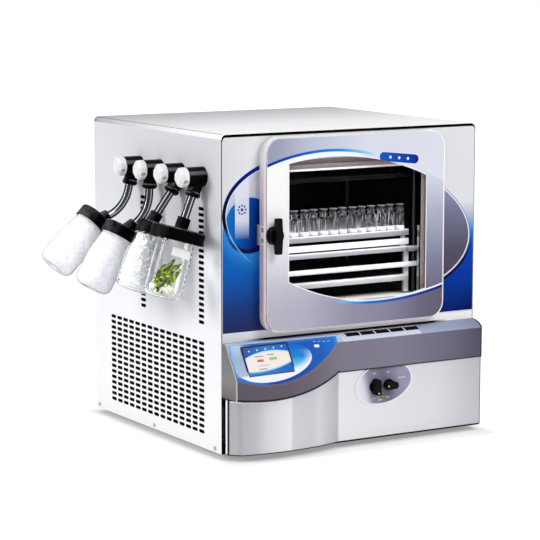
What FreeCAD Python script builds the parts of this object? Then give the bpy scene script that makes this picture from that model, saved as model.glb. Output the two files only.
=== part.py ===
import FreeCAD, Part

# A benchtop stoppering freeze dryer: a sheet-metal cabinet with a steel drying chamber behind an acrylic
# door, a control console, and four sample ports on the left side that carry flasks.
# X runs right from the left side face, Y runs back from the front fascia and Z runs up from the base.
# The finished pieces are moved together, so that the origin is under the middle of the whole machine.

import math
import os

Vector = FreeCAD.Vector
X_AXIS = Vector(1, 0, 0)
Y_AXIS = Vector(0, 1, 0)
Z_AXIS = Vector(0, 0, 1)

# ------------------------------------------------------------------ driving dimensions, millimetres

# cabinet
cabinet_width = 684.0
cabinet_depth = 616.0
cabinet_height = 712.0
sheet = 1.5
cover_bend = 12.0
foot_radius = 19.0
foot_height = 12.0
foot_inset = 52.0

# fits and gaps
touch_gap = 0.3
shaft_gap = 0.05
hole_gap = 1.0

# front fascia
fascia_thick = 2.0
fascia_bottom = 250.0
fascia_corner = 15.0
fascia_side_gap = 1.0
fascia_top_gap = 4.0

# drying chamber
chamber_centre_x = 333.0
chamber_floor = 321.0
mouth_width = 392.0
mouth_height = 300.0
chamber_depth = 340.0
chamber_wall = 3.0
flange_width = 26.0
flange_thick = 6.0
flange_corner = 24.0
gasket_width = 5.0
gasket_outset = 13.5
screw_outset = 7.5
screw_pitch = 50.0
screw_count = 6

# door
door_width = 479.0
door_height = 435.0
door_thick = 27.0
door_standoff = 8.0
door_corner = 38.0
door_bottom = 268.0
door_offset_x = -0.5
print_thick = 0.4
print_inset = 2.5
window_left = 60.0
window_right = 52.0
window_top_peak = (176.0, 386.0)
window_top_radius = 618.0
window_low_point = (298.0, 56.0)
window_low_radius = 530.0

# door hinges, on the right
hinge_standoff = 6.5
hinge_depth = 9.5
knuckle_radius = 6.0
knuckle_length = 20.0
pin_radius = 3.0
leaf_thick = 3.0
hinge_inset = 72.0

# door handle and latch, on the left
handle_inset = 20.0
handle_rise = 219.0
hub_radius = 20.0
hub_neck_radius = 18.5
hub_length = 11.0
grip_length = 80.0
grip_width = 15.0
grip_depth = 18.0
grip_corner = 3.0
grip_round = 2.2
shaft_radius = 6.0
cam_thick = 2.5
cam_gap = 2.4
cam_hub_radius = 7.5
cam_reach = 20.0
cam_width = 12.0
keeper_height = 46.0

# shelves and the rack that lifts them
shelf_margin = 19.0
shelf_front = 20.0
shelf_depth = 296.0
shelf_thick = 14.0
shelf_rim = 2.0
shelf_rim_width = 1.5
upper_shelf_rise = 136.0
middle_shelf_rise = 115.0
lower_shelf_rise = 31.0
rack_bar_rise = 99.0
rack_bar = 12.0
rack_foot_rise = 5.0
guide_radius = 4.0
guide_inset = 8.0
guide_front = 16.0
press_plate_rise = 271.0
press_plate_thick = 10.0
lift_travel = 62.5
rail_rise = 65.0
rail_height = 11.0

# vials
vial_pitch = 26.0
vial_radius = 12.5
vial_body = 38.0
vial_neck_radius = 8.5
vial_height = 52.0
vial_wall = 1.2
vial_setback = 17.0
vial_end_gap = 1.0
vial_stagger = 1.5
stopper_height = 60.0

# stoppering cylinder under the chamber
ram_radius = 12.0
cylinder_radius = 28.0
cylinder_wall = 4.0
piston_height = 12.0
cylinder_spare = 29.5

# control console
console_depth = 39.0
console_bottom = 163.5
console_slope_drop = 16.0
console_end_round = 4.0
console_split = 290.0
console_bulge_end = 283.0
face_top_left = (2.0, -17.0, 249.0)
face_low_left = (2.0, -62.0, 178.0)
face_low_right = (279.0, -39.0, 232.0)
bulge_left_depth = 64.0
bulge_peak = (100.0, 78.0)
swoosh_left = 131.0
swoosh_mid = (100.0, 125.5)
vent_count = 5
vent_pitch = 40.5
vent_length = 37.0
vent_width = 16.0
vent_first = 312.0
screen_width = 114.0
screen_height = 69.0
screen_place = (34.5, 11.5)
screen_thick = 1.6

# lower front panel
lower_panel_depth = 33.0
lower_panel_base = 2.0
lower_panel_left = 4.0
lower_panel_gap = 5.0
lower_panel_return = 12.0
lower_bulge = ((4.0, 21.0), (27.0, 45.0), (118.0, 57.0), (288.0, 33.0))

# valve plate and its two knobs
plate_centre = (409.0, 127.0)
plate_half_length = 79.0
plate_half_height = 49.0
plate_tilt = 8.0
plate_thick = 2.0
knob_stem_radius = 4.0
stopper_knob_length = 38.0
vent_knob_length = 33.0
knob_width = 17.0
knob_depth = 20.0
stopper_knob_place = (382.0, 122.0)
vent_knob_place = (421.0, 122.5)
barb_place = (404.0, 100.0)

# sample ports on the left side
port_count = 4
port_first = 80.7
port_pitch = 99.5
port_rise = 613.5
barrel_radius = 22.0
barrel_length = 45.0
leg_radius = 15.5
leg_bead = 17.5
leg_end = (28.5, 44.0)
stub_radius = 15.0
stub_length = 18.0
port_knob_radius = 22.0
port_knob_length = 18.0
port_stem_radius = 5.0
vent_hole_radius = 5.5
vent_hole_angle = 25.0
tube_radius = 9.5
tube_wall = 1.5
tube_gap = 0.1
tube_in_leg = 18.0
tube_in_top = 34.0
# each tube: lean where it leaves its leg, lean where it ends, straight length, bend radius
tubes = ((21.7, 21.7, 49.4, 0.0),
         (36.8, 36.8, 56.4, 0.0),
         (4.0, 60.0, 16.5, 78.5),
         (15.0, 72.0, 13.8, 81.7))

# flasks, front to back: lean, mouth radius, body radius, length, radius of the rubber top
flask_sizes = ((16.5, 42.0, 43.5, 143.0, 60.3),
               (22.0, 34.0, 43.5, 145.0, 38.2),
               (30.0, 34.0, 43.5, 145.0, 38.2),
               (44.3, 34.0, 43.5, 145.0, 38.2))
# from the end of each tube to the middle of its rubber top's lower rim: lean and distance
top_reaches = ((23.9, 53.2), (17.4, 48.5), (60.5, 52.2), (72.8, 49.2))
flask_wall = 3.0
flask_foot_radius = 18.0
flask_dimple = 5.0
top_height = 28.0
top_rim_depth = 13.0
collar_radius = 15.0
collar_length = 44.0

# ventilation slots in the left side panel
slot_length = 21.5
slot_height = 7.2
slot_pitch_y = 30.8
slot_pitch_z = 13.42
slot_first = (89.0, 36.6)
slot_columns = 15
slot_rows = 16
tall_columns = (0, 9)
tall_first = 285.5
tall_rows = 20

# inside the base
deck_thick = 3.0
leg_side = 25.0
drum_radius = 95.0
drum_height = 320.0
drum_place = (185.0, 492.0)
duct_z = 480.0
vacuum_z = 560.0
manifold_radius = 24.0
manifold_x = 40.0
port_duct_radius = 28.0
compressor_radius = 72.0
compressor_height = 200.0
compressor_places = ((330.0, 180.0), (330.0, 420.0))
coil_block = (24.0, 400.0, 196.0)
coil_fins = 14
fan_place = (46.0, 309.0, 110.0)
fan_radius = 84.0
fan_blades = 5
motor_radius = 32.0
board_size = (150.0, 92.0)

# rear connections
vacuum_radius = 9.5
vacuum_length = 30.0
inlet_place = (560.0, 84.0)
inlet_size = (86.0, 44.0)
rocker_offset = 9.5
rocker_width = 21.0
rocker_depth = 5.0
rocker_pin = 1.5
rocker_tilt = 7.0
rear_slot_count = 12
rear_slot_size = (150.0, 6.0)
rear_slot_pitch = 16.0
screw_head_radius = 4.5
screw_head_height = 2.0

# ------------------------------------------------------------------ places that follow from the sizes

inner_left = sheet
inner_right = cabinet_width - sheet
rear_face = cabinet_depth - sheet
mouth_left = chamber_centre_x - mouth_width / 2
mouth_right = chamber_centre_x + mouth_width / 2
chamber_ceiling = chamber_floor + mouth_height
chamber_under = chamber_floor - chamber_wall
door_left = chamber_centre_x + door_offset_x - door_width / 2
door_right = door_left + door_width
door_back = -door_standoff
door_front = door_back - door_thick
door_top = door_bottom + door_height
hinge_x = door_right + hinge_standoff
hinge_y = -hinge_depth
handle_x = door_left + handle_inset
handle_z = door_bottom + handle_rise
shelf_left = mouth_left + shelf_margin
shelf_right = mouth_right - shelf_margin
shelf_back = shelf_front + shelf_depth
shelf_top = chamber_floor + upper_shelf_rise + shelf_thick
guide_xs = (mouth_left + guide_inset, mouth_right - guide_inset)
guide_ys = (guide_front, shelf_back - guide_front)
ram_y = shelf_front + shelf_depth / 2
cylinder_length = lift_travel + piston_height + cylinder_spare
port_ys = [port_first + index * port_pitch for index in range(port_count)]
deck_top = chamber_under


# ------------------------------------------------------------------ small helpers

def box(x0, y0, z0, x1, y1, z1):
    return Part.makeBox(x1 - x0, y1 - y0, z1 - z0, Vector(x0, y0, z0))


def cylinder(start, direction, radius, length):
    return Part.makeCylinder(radius, length, Vector(*start), Vector(*direction))


def line(a, b):
    return Part.makeLine(a, b)


def arc(a, b, c):
    return Part.Arc(a, b, c).toShape()


def face_of(edges):
    return Part.Face(Part.Wire(Part.__sortEdges__(edges)))


def polygon(points):
    closed = [Vector(*point) for point in points]
    closed.append(closed[0])
    return Part.Face(Part.makePolygon(closed))


def fused(shapes):
    whole = shapes[0]
    for shape in shapes[1:]:
        whole = whole.fuse(shape)
    return whole.removeSplitter()


def drilled(shape, tools):
    return shape.cut(Part.makeCompound(tools))


def along(shape, direction):
    """Straight edges of a shape that run along a direction."""
    found = []
    for edge in shape.Edges:
        if not isinstance(edge.Curve, Part.Line):
            continue
        if edge.tangentAt(edge.FirstParameter).cross(direction).Length < 1e-6:
            found.append(edge)
    return found


def rounded_plate(x0, x1, y0, y1, z0, z1, corner):
    """An upright plate facing the front, with its four corners rounded."""
    plate = box(x0, y0, z0, x1, y1, z1)
    return plate.makeFillet(corner, along(plate, Y_AXIS))


def turned(profile, start=Vector(0, 0, 0), axis=Z_AXIS):
    """A solid of revolution: profile holds (radius, height) points, height along the axis from start."""
    outline = Part.Face(Part.makePolygon([Vector(r, 0, h) for r, h in profile + [profile[0]]]))
    solid = outline.revolve(Vector(0, 0, 0), Z_AXIS, 360)
    return placed(solid, start, axis)


def placed(shape, start, axis):
    moved = shape.copy()
    turn = FreeCAD.Rotation(Z_AXIS, Vector(*axis))
    moved.Placement = FreeCAD.Placement(Vector(*start), turn).multiply(moved.Placement)
    return moved


# ------------------------------------------------------------------ cabinet

def base_pan():
    """A tray of folded sheet, with a tongue at the front that backs the lower front panel."""
    wall = 24.0
    tongue = lower_panel_depth - sheet
    tongue_start = 24.0
    outer = box(inner_left, 0, 0, inner_right, rear_face, wall)
    outer = outer.fuse(box(tongue_start, -tongue, 0, inner_right, 0, wall))
    inner = box(inner_left + sheet, sheet, sheet, inner_right - sheet, rear_face - sheet, wall)
    tongue_hollow = box(tongue_start + sheet, -tongue + sheet, sheet, inner_right - sheet, sheet, wall)
    return outer.cut(inner.fuse(tongue_hollow)).removeSplitter()


def feet():
    """Four moulded rubber feet with a recessed screw."""
    profile = [(0, 0), (foot_radius - 2, 0), (foot_radius, 2), (foot_radius + 1, foot_height),
               (0, foot_height)]
    solids = []
    for x in (foot_inset, cabinet_width - foot_inset):
        for y in (foot_inset, cabinet_depth - foot_inset):
            solids.append(turned(profile, (x, y, -foot_height)))
    return Part.makeCompound(solids)


def slot_tool(y, z):
    """One ventilation slot with round ends, through the left side panel."""
    reach = (slot_length - slot_height) / 2
    rise = slot_height / 2
    x = -sheet
    outline = [line(Vector(x, y - reach, z - rise), Vector(x, y + reach, z - rise)),
               arc(Vector(x, y + reach, z - rise), Vector(x, y + reach + rise, z),
                   Vector(x, y + reach, z + rise)),
               line(Vector(x, y + reach, z + rise), Vector(x, y - reach, z + rise)),
               arc(Vector(x, y - reach, z + rise), Vector(x, y - reach - rise, z),
                   Vector(x, y - reach, z - rise))]
    return face_of(outline).extrude(Vector(3 * sheet, 0, 0))


def left_side_panel():
    """The slotted service panel, with a hole for each sample port."""
    panel = box(0, 0, 0, sheet, cabinet_depth, cabinet_height - cover_bend)
    tools = []
    for column in range(slot_columns):
        y = slot_first[0] + column * slot_pitch_y
        for row in range(slot_rows):
            tools.append(slot_tool(y, slot_first[1] + row * slot_pitch_z))
    for column in tall_columns:
        y = slot_first[0] + column * slot_pitch_y
        for row in range(tall_rows):
            tools.append(slot_tool(y, tall_first + row * slot_pitch_z))
    for y in port_ys:
        tools.append(cylinder((-sheet, y, port_rise), X_AXIS, stub_radius + hole_gap, 3 * sheet))
    return drilled(panel, tools)


def cabinet_cover():
    """The top and right side, one folded sheet with rounded bends."""
    outer = box(0, 0, 0, cabinet_width, cabinet_depth, cabinet_height)
    top_edges = [edge for edge in along(outer, Y_AXIS) if edge.CenterOfMass.z > cabinet_height / 2]
    outer = outer.makeFillet(cover_bend, top_edges)
    inner = box(sheet, -1, -1, inner_right, cabinet_depth + 1, cabinet_height - sheet)
    top_edges = [edge for edge in along(inner, Y_AXIS) if edge.CenterOfMass.z > cabinet_height / 2]
    inner = inner.makeFillet(cover_bend - sheet, top_edges)
    left_part = box(-1, -1, -1, sheet + 1, cabinet_depth + 1, cabinet_height - cover_bend)
    return outer.cut(inner).cut(left_part)


def rear_panel():
    """The back, with a bank of slots behind the condenser and holes for the two connections."""
    panel = box(inner_left, rear_face, 0, inner_right, cabinet_depth, cabinet_height - sheet)
    top_edges = [edge for edge in along(panel, Y_AXIS) if edge.CenterOfMass.z > cabinet_height / 2]
    panel = panel.makeFillet(cover_bend - sheet, top_edges)
    tools = []
    for column in (150.0, 330.0):
        for row in range(rear_slot_count):
            z = slot_first[1] + row * rear_slot_pitch
            tools.append(box(column, rear_face - 1, z, column + rear_slot_size[0], cabinet_depth + 1,
                             z + rear_slot_size[1]))
    x, z = inlet_place
    w, h = inlet_size
    tools.append(box(x, rear_face - 1, z, x + w, cabinet_depth + 1, z + h))
    tools.append(cylinder((drum_place[0], rear_face - 1, vacuum_z), Y_AXIS, vacuum_radius + hole_gap, 4))
    return drilled(panel, tools)


def panel_screws():
    """Pan-head screws at the foot of both sides and at the corners of the back."""
    solids = []
    for y in (28.0, cabinet_depth / 2 + 7, cabinet_depth - 17):
        solids.append(cylinder((0, y, 9), (-1, 0, 0), screw_head_radius, screw_head_height))
        solids.append(cylinder((cabinet_width, y, 9), X_AXIS, screw_head_radius, screw_head_height))
    for x in (20.0, cabinet_width / 2, cabinet_width - 20):
        for z in (12.0, cabinet_height - 22):
            solids.append(cylinder((x, cabinet_depth, z), Y_AXIS, screw_head_radius, screw_head_height))
    return Part.makeCompound(solids)


def front_fascia():
    """The flat printed front round the chamber mouth, with a short folded edge at the top."""
    left = inner_left + fascia_side_gap
    right = inner_right - fascia_side_gap
    top = cabinet_height - sheet - fascia_top_gap
    plate = box(left, 0, fascia_bottom, right, fascia_thick, top)
    corners = [edge for edge in along(plate, Y_AXIS) if edge.CenterOfMass.z > cabinet_height / 2]
    plate = plate.makeFillet(fascia_corner, corners)
    reach = flange_width + touch_gap
    opening = rounded_plate(mouth_left - reach, mouth_right + reach, -1, fascia_thick + 1,
                            chamber_floor - reach, chamber_ceiling + reach, flange_corner)
    return plate.cut(opening)


# ------------------------------------------------------------------ console and lower front

def console_face_frame():
    """Origin, unit vectors across and down, and outward normal of the tilted face that carries the screen."""
    origin = Vector(*face_top_left)
    down = Vector(*face_low_left) - origin
    right = Vector(*face_low_right) - origin
    normal = down.cross(right)
    normal.normalize()
    across = X_AXIS - normal * X_AXIS.dot(normal)
    across.normalize()
    return origin, across, across.cross(normal), normal


def over_face(left, top, right, bottom, low, high):
    """A block over the tilted face, between two lines across it and two heights above it."""
    origin, across, down, normal = console_face_frame()
    corners = [origin + across * u + down * v + normal * low
               for u, v in ((left, top), (right, top), (right, bottom), (left, bottom))]
    return polygon([tuple(corner) for corner in corners]).extrude(normal * (high - low))


def console_plan(inset):
    """The console's outline seen from above: a bulge on the left that ends in a crease, then straight."""
    left_front = Vector(0, -bulge_left_depth, 0)
    peak = Vector(bulge_peak[0], -bulge_peak[1], 0)
    crease = Vector(console_bulge_end, -console_depth, 0)
    right_front = Vector(cabinet_width, -console_depth, 0)
    right_back = Vector(cabinet_width, 0, 0)
    outline = Part.Wire([line(Vector(0, 0, 0), left_front),
                         arc(left_front, peak, crease),
                         line(crease, right_front),
                         line(right_front, right_back),
                         line(right_back, Vector(0, 0, 0))])
    if inset > 0:
        outline = outline.makeOffset2D(-inset)
    return Part.Face(outline)


def below_swoosh(y0, y1, drop=0.0, left_gap=0.0):
    """Everything under the console's lower edge, which curves down towards the left. It can lie lower by
    a drop all along, and by a gap that grows towards the left."""
    end = Vector(console_bulge_end, y0, console_bottom)
    start = Vector(0, y0, swoosh_left - left_gap)
    middle = Vector(swoosh_mid[0], y0, swoosh_mid[1] - left_gap * (1 - swoosh_mid[0] / console_bulge_end))
    right = cabinet_width + 1
    edges = [arc(start, middle, end),
             line(end, Vector(right, y0, console_bottom)),
             line(Vector(right, y0, console_bottom), Vector(right, y0, -9)),
             line(Vector(right, y0, -9), Vector(0, y0, -9)),
             line(Vector(0, y0, -9), start)]
    below = face_of(edges).extrude(Vector(0, y1 - y0, 0))
    below.translate(Vector(0, 0, -drop))
    return below


def over_slope(top):
    """The side view of what lies over the straight part's top, which starts level and curves down."""
    back = Vector(console_split, 0, top)
    front = Vector(console_split, -console_depth, top - console_slope_drop)
    fall = math.atan2(console_slope_drop, console_depth)
    rise = (front - back).Length / 2 * math.tan(fall / 2)
    middle = (back + front) / 2 + Vector(0, -math.sin(fall), math.cos(fall)) * rise
    return face_of([arc(back, middle, front),
                    line(front, front + Vector(0, -10, 0)),
                    line(front + Vector(0, -10, 0), Vector(console_split, -console_depth - 10, top + 10)),
                    line(Vector(console_split, -console_depth - 10, top + 10), back + Vector(0, 0, 10)),
                    line(back + Vector(0, 0, 10), back)])


def console_housing():
    """The moulded console: a bulge on the left with a tilted face, and a straight part with vents."""
    top = fascia_bottom - touch_gap
    block = console_plan(0).extrude(Vector(0, 0, top)).cut(below_swoosh(-150, 1))
    over = over_face(-200, -200, 500, 300, 0, 200)
    over = over.common(box(-100, -150, 0, console_split, -1, 500))
    slope = over_slope(top).extrude(Vector(cabinet_width, 0, 0))
    body = block.cut(over).cut(slope)
    vents = []
    for index in range(vent_count):
        x = vent_first + index * vent_pitch
        y = -console_depth / 2 - vent_width / 2
        vents.append(box(x, y, top - console_slope_drop - 6, x + vent_length, y + vent_width, top + 1))
    body = drilled(body, vents)
    ends = [edge for edge in along(body, Z_AXIS) if edge.CenterOfMass.y < -console_depth / 2]
    ends = [edge for edge in ends if edge.CenterOfMass.x < 1 or edge.CenterOfMass.x > cabinet_width - 1]
    return body.makeFillet(console_end_round, ends)


def console_overlay():
    """The printed film on the tilted face, cut out round the touch screen."""
    top = fascia_bottom - touch_gap
    film = over_face(print_inset, -100, console_bulge_end, 300, 0, print_thick)
    film = film.common(console_plan(print_inset).extrude(Vector(0, 0, top - print_inset)))
    left, down = screen_place
    hole = over_face(left - touch_gap, down - touch_gap, left + screen_width + touch_gap,
                     down + screen_height + touch_gap, -1, 3)
    return film.cut(hole)


def touch_screen():
    left, down = screen_place
    return over_face(left, down, left + screen_width, down + screen_height, 0, screen_thick)


def lower_front_panel():
    """A folded stainless front: a bulge on the left that ends in a crease, then a flat part."""
    points = [Vector(x, -y, lower_panel_base) for x, y in lower_bulge]
    back = Vector(lower_panel_left, -lower_panel_return + sheet, lower_panel_base)
    right_front = Vector(cabinet_width, -lower_panel_depth, lower_panel_base)
    right_back = Vector(cabinet_width, -sheet, lower_panel_base)
    outline = [line(back, points[0]),
               line(points[0], points[1]),
               arc(points[1], points[2], points[3]),
               line(points[3], right_front),
               line(right_front, right_back)]
    outer = Part.Wire(outline)
    closed = Part.Wire(outline + [line(right_back, back)])
    inner = closed.makeOffset2D(-sheet)
    band = Part.Face(closed).cut(Part.Face(inner))
    band = band.extrude(Vector(0, 0, console_bottom))
    open_back = box(lower_panel_left - 1, -lower_panel_return, 0,
                    cabinet_width - sheet, 1, console_bottom + 9)
    shell = band.cut(open_back)
    shell = shell.common(below_swoosh(-150, 1, touch_gap, lower_panel_gap))
    holes = []
    for x, z in (stopper_knob_place, vent_knob_place):
        holes.append(cylinder((x, -lower_panel_depth - 2, z), Y_AXIS, knob_stem_radius + hole_gap, 6))
    return drilled(shell, holes)


def valve_plate():
    """The oval plate behind the two valve knobs, cut off level under the console."""
    ellipse = Part.Ellipse(Vector(0, 0, 0), plate_half_length, plate_half_height)
    oval = Part.Face(Part.Wire(ellipse.toShape())).extrude(Vector(0, 0, plate_thick))
    oval.rotate(Vector(0, 0, 0), Z_AXIS, plate_tilt)
    oval.rotate(Vector(0, 0, 0), X_AXIS, 90)
    oval.translate(Vector(plate_centre[0], -lower_panel_depth, plate_centre[1]))
    oval = oval.common(below_swoosh(-150, 1, touch_gap))
    holes = []
    for x, z in (stopper_knob_place, vent_knob_place):
        holes.append(cylinder((x, -lower_panel_depth - 9, z), Y_AXIS, knob_stem_radius + hole_gap, 12))
    return drilled(oval, holes)


def control_valves():
    """Two valve bodies behind the lower panel, each with a bored bush for its knob's stem."""
    solids = []
    for x, z in (stopper_knob_place, vent_knob_place):
        block = box(x - 14, -lower_panel_depth + sheet, z - 16, x + 14, -2, z + 16)
        port = cylinder((x, -12, z + 16), Z_AXIS, 5, 8)
        bore = cylinder((x, -lower_panel_depth, z), Y_AXIS, knob_stem_radius + shaft_gap, 16)
        solids.append(block.fuse(port).cut(bore))
    return Part.makeCompound(solids)


def selector_knob(place, length, lean):
    """A bar-grip knob on a round skirt, with a stem into its valve."""
    x, z = place
    face_y = -lower_panel_depth - plate_thick - touch_gap
    skirt = cylinder((0, 0, 0), (0, -1, 0), knob_width * 0.78, 4)
    bar = box(-knob_width / 2, -knob_depth, -length / 2, knob_width / 2, -4, length / 2)
    bar = bar.makeFillet(knob_width * 0.42, along(bar, Y_AXIS))
    front = [edge for edge in bar.Edges if abs(edge.CenterOfMass.y + knob_depth) < 0.01]
    bar = bar.makeFillet(2.0, front)
    stem = cylinder((0, -1, 0), Y_AXIS, knob_stem_radius, 14)
    knob = fused([skirt, bar, stem])
    knob.rotate(Vector(0, 0, 0), Y_AXIS, lean)
    knob.translate(Vector(x, face_y, z))
    return knob


def gas_inlet_barb():
    """A small brass hose barb through the valve plate."""
    profile = [(0, 0), (4.5, 0), (4.5, 3), (2.2, 3), (3.2, 5), (2.2, 7), (3.2, 9), (2.2, 11), (1.6, 13),
               (0, 13)]
    x, z = barb_place
    return turned(profile, (x, -lower_panel_depth - plate_thick, z), (0, -1, 0))


# ------------------------------------------------------------------ chamber, shelves and lift

def chamber_shell():
    """The welded stainless chamber with its front flange, a vapour hole and a hole for the lift ram."""
    wall = chamber_wall
    outer = box(mouth_left - wall, 0, chamber_under, mouth_right + wall, chamber_depth + wall,
                chamber_ceiling + wall)
    reach = flange_width
    flange = rounded_plate(mouth_left - reach, mouth_right + reach, 0, flange_thick,
                           chamber_floor - reach, chamber_ceiling + reach, flange_corner)
    hollow = box(mouth_left, -1, chamber_floor, mouth_right, chamber_depth, chamber_ceiling)
    vapour = cylinder((drum_place[0], chamber_depth - 1, duct_z), Y_AXIS, port_duct_radius - wall, wall + 2)
    ram = cylinder((chamber_centre_x, ram_y, chamber_under - 1), Z_AXIS, ram_radius + touch_gap, wall + 2)
    return drilled(fused([outer, flange]), [hollow, vapour, ram])


def door_gasket():
    """A rubber ring on the flange that the door closes against."""
    inset = gasket_outset
    outer = rounded_plate(mouth_left - inset - gasket_width / 2, mouth_right + inset + gasket_width / 2,
                          -door_standoff + touch_gap, 0, chamber_floor - inset - gasket_width / 2,
                          chamber_ceiling + inset + gasket_width / 2, flange_corner)
    inner = rounded_plate(mouth_left - inset + gasket_width / 2, mouth_right + inset - gasket_width / 2,
                          -door_standoff, 1, chamber_floor - inset + gasket_width / 2,
                          chamber_ceiling + inset - gasket_width / 2, flange_corner - gasket_width)
    return outer.cut(inner)


def flange_screws():
    """Button-head screws down both sides of the flange."""
    solids = []
    for index in range(screw_count):
        z = chamber_floor + 19 + index * screw_pitch
        for x in (mouth_left - screw_outset, mouth_right + screw_outset):
            solids.append(cylinder((x, 0, z), (0, -1, 0), 3.2, 2.2))
    return Part.makeCompound(solids)


def guide_rods():
    """Four upright rods that guide the rack from the chamber's floor to its ceiling."""
    solids = []
    for x in guide_xs:
        for y in guide_ys:
            solids.append(cylinder((x, y, chamber_floor), Z_AXIS, guide_radius, mouth_height))
    return Part.makeCompound(solids)


def press_plate():
    """The fixed plate that the stoppers are pressed against, hung from the ceiling on four posts."""
    low = chamber_floor + press_plate_rise
    plate = box(shelf_left, shelf_front, low, shelf_right, shelf_back, low + press_plate_thick)
    posts = []
    for x in (shelf_left + 30, shelf_right - 30):
        for y in (shelf_front + 30, shelf_back - 30):
            posts.append(cylinder((x, y, low + press_plate_thick), Z_AXIS, 8, chamber_ceiling - low
                                  - press_plate_thick))
    return fused([plate] + posts)


def front_rail():
    """A bar across the front that keeps trays in, on an upright at each side wall."""
    low = chamber_floor + rail_rise
    bar = box(mouth_left, 4, low, mouth_right, 10, low + rail_height)
    groove = box(mouth_left + 8, 3, low + 4.5, mouth_right - 8, 5.5, low + 6.5)
    rail = bar.cut(groove)
    parts = [rail]
    for x0, x1 in ((mouth_left, mouth_left + 3), (mouth_right - 3, mouth_right)):
        parts.append(box(x0, 4, chamber_floor + 9, x1, 8.5, shelf_top + 9))
    return fused(parts)


def shelf(rise, spacer):
    """One hollow-core shelf with a low rim and a spacer foot under each corner."""
    low = chamber_floor + rise
    body = box(shelf_left, shelf_front, low, shelf_right, shelf_back, low + shelf_thick)
    wide = shelf_rim_width
    pocket = box(shelf_left + wide, shelf_front + wide, low + shelf_thick - shelf_rim, shelf_right - wide,
                 shelf_back - wide, low + shelf_thick + 1)
    parts = [body.cut(pocket)]
    for x in (shelf_left + 6, shelf_right - 18):
        for y in (shelf_front + 6, shelf_back - 18):
            if spacer > 0:
                parts.append(box(x, y, low - spacer, x + 12, y + 12, low))
    return fused(parts)


def shelves():
    """The upper and middle shelves, stacked on spacers, and the lower shelf inside the rack's legs."""
    upper = shelf(upper_shelf_rise, upper_shelf_rise - middle_shelf_rise - shelf_thick + shelf_rim)
    middle = shelf(middle_shelf_rise, middle_shelf_rise - rack_bar_rise - rack_bar)
    low = chamber_floor + lower_shelf_rise
    lower = box(shelf_left + rack_bar, shelf_front, low,
                shelf_right - rack_bar, shelf_back, low + shelf_thick)
    return Part.makeCompound([upper, middle, lower])


def rack_frame():
    """A welded frame of square bar with a bored guide block at each corner."""
    top = chamber_floor + rack_bar_rise + rack_bar
    bottom = chamber_floor + rack_foot_rise
    parts = []
    for y0 in (shelf_front, shelf_back - rack_bar):
        parts.append(box(shelf_left, y0, top - rack_bar, shelf_right, y0 + rack_bar, top))
    for x0 in (shelf_left, shelf_right - rack_bar):
        parts.append(box(x0, shelf_front, top - rack_bar, x0 + rack_bar, shelf_back, top))
        parts.append(box(x0, shelf_front, bottom, x0 + rack_bar, shelf_back, bottom + rack_bar))
        for y0 in (shelf_front, shelf_back - rack_bar):
            parts.append(box(x0, y0, bottom, x0 + rack_bar, y0 + rack_bar, top))
    half = guide_radius + 3
    for x in guide_xs:
        near = shelf_left if x < chamber_centre_x else shelf_right
        for y in guide_ys:
            ear = box(min(x - half, near), y - half, top - rack_bar, max(x + half, near), y + half, top)
            parts.append(ear)
    for x, near in ((guide_xs[0], shelf_left), (guide_xs[1], shelf_right)):
        reach = rack_bar / 2 if x > chamber_centre_x else -rack_bar / 2
        x0, x1 = sorted((near - reach, x))
        parts.append(box(x0, guide_ys[0] - half, top - rack_bar, x1, shelf_front + 1, top))
    frame = fused(parts)
    bores = []
    for x in guide_xs:
        for y in guide_ys:
            bores.append(cylinder((x, y, bottom - 1), Z_AXIS, guide_radius + shaft_gap, top - bottom + 2))
    return drilled(frame, bores)


def vial_positions():
    count = int((shelf_right - shelf_left - 2 * shelf_rim_width - vial_end_gap) // vial_pitch)
    last = shelf_right - shelf_rim_width - vial_end_gap - vial_radius
    y = shelf_front + vial_setback
    for index in range(count):
        yield last - (count - 1 - index) * vial_pitch, y + vial_stagger * math.sin(2.4 * index)


def vials():
    """A row of open-necked glass vials on the upper shelf."""
    inner = vial_radius - vial_wall
    neck = vial_neck_radius - 2
    shoulder = vial_body + 5
    profile = [(0, 0), (vial_radius, 0), (vial_radius, vial_body), (vial_neck_radius, shoulder),
               (vial_neck_radius, vial_height - 4), (vial_neck_radius + 1.5, vial_height - 4),
               (vial_neck_radius + 1.5, vial_height), (neck, vial_height), (neck, shoulder),
               (inner, vial_body - 0.5), (inner, 1.5), (0, 1.5)]
    floor = shelf_top - shelf_rim
    return Part.makeCompound([turned(profile, (x, y, floor)) for x, y in vial_positions()])


def vial_stoppers():
    """Rubber stoppers, set half way into the necks as they are while drying."""
    neck = vial_neck_radius - 2
    profile = [(0, 0), (neck - 0.1, 0), (neck - 0.1, 10), (vial_neck_radius + 1, 10),
               (vial_neck_radius + 1, 13), (0, 13)]
    low = shelf_top - shelf_rim + stopper_height - 13
    return Part.makeCompound([turned(profile, (x, y, low)) for x, y in vial_positions()])


def stoppering_cylinder():
    """The pneumatic cylinder under the chamber floor, bored for its piston, closed by a bored cap."""
    low = chamber_under - cylinder_length
    bore = cylinder_radius - cylinder_wall
    body = cylinder((chamber_centre_x, ram_y, low), Z_AXIS, cylinder_radius, cylinder_length)
    collar = cylinder((chamber_centre_x, ram_y, deck_top - deck_thick - 8), Z_AXIS, cylinder_radius + 9, 8)
    hollow = cylinder((chamber_centre_x, ram_y, low + 5), Z_AXIS, bore, cylinder_length - 15)
    neck = cylinder((chamber_centre_x, ram_y, low + 5), Z_AXIS, ram_radius + shaft_gap, cylinder_length)
    return drilled(fused([body, collar]), [hollow, neck])


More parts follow.
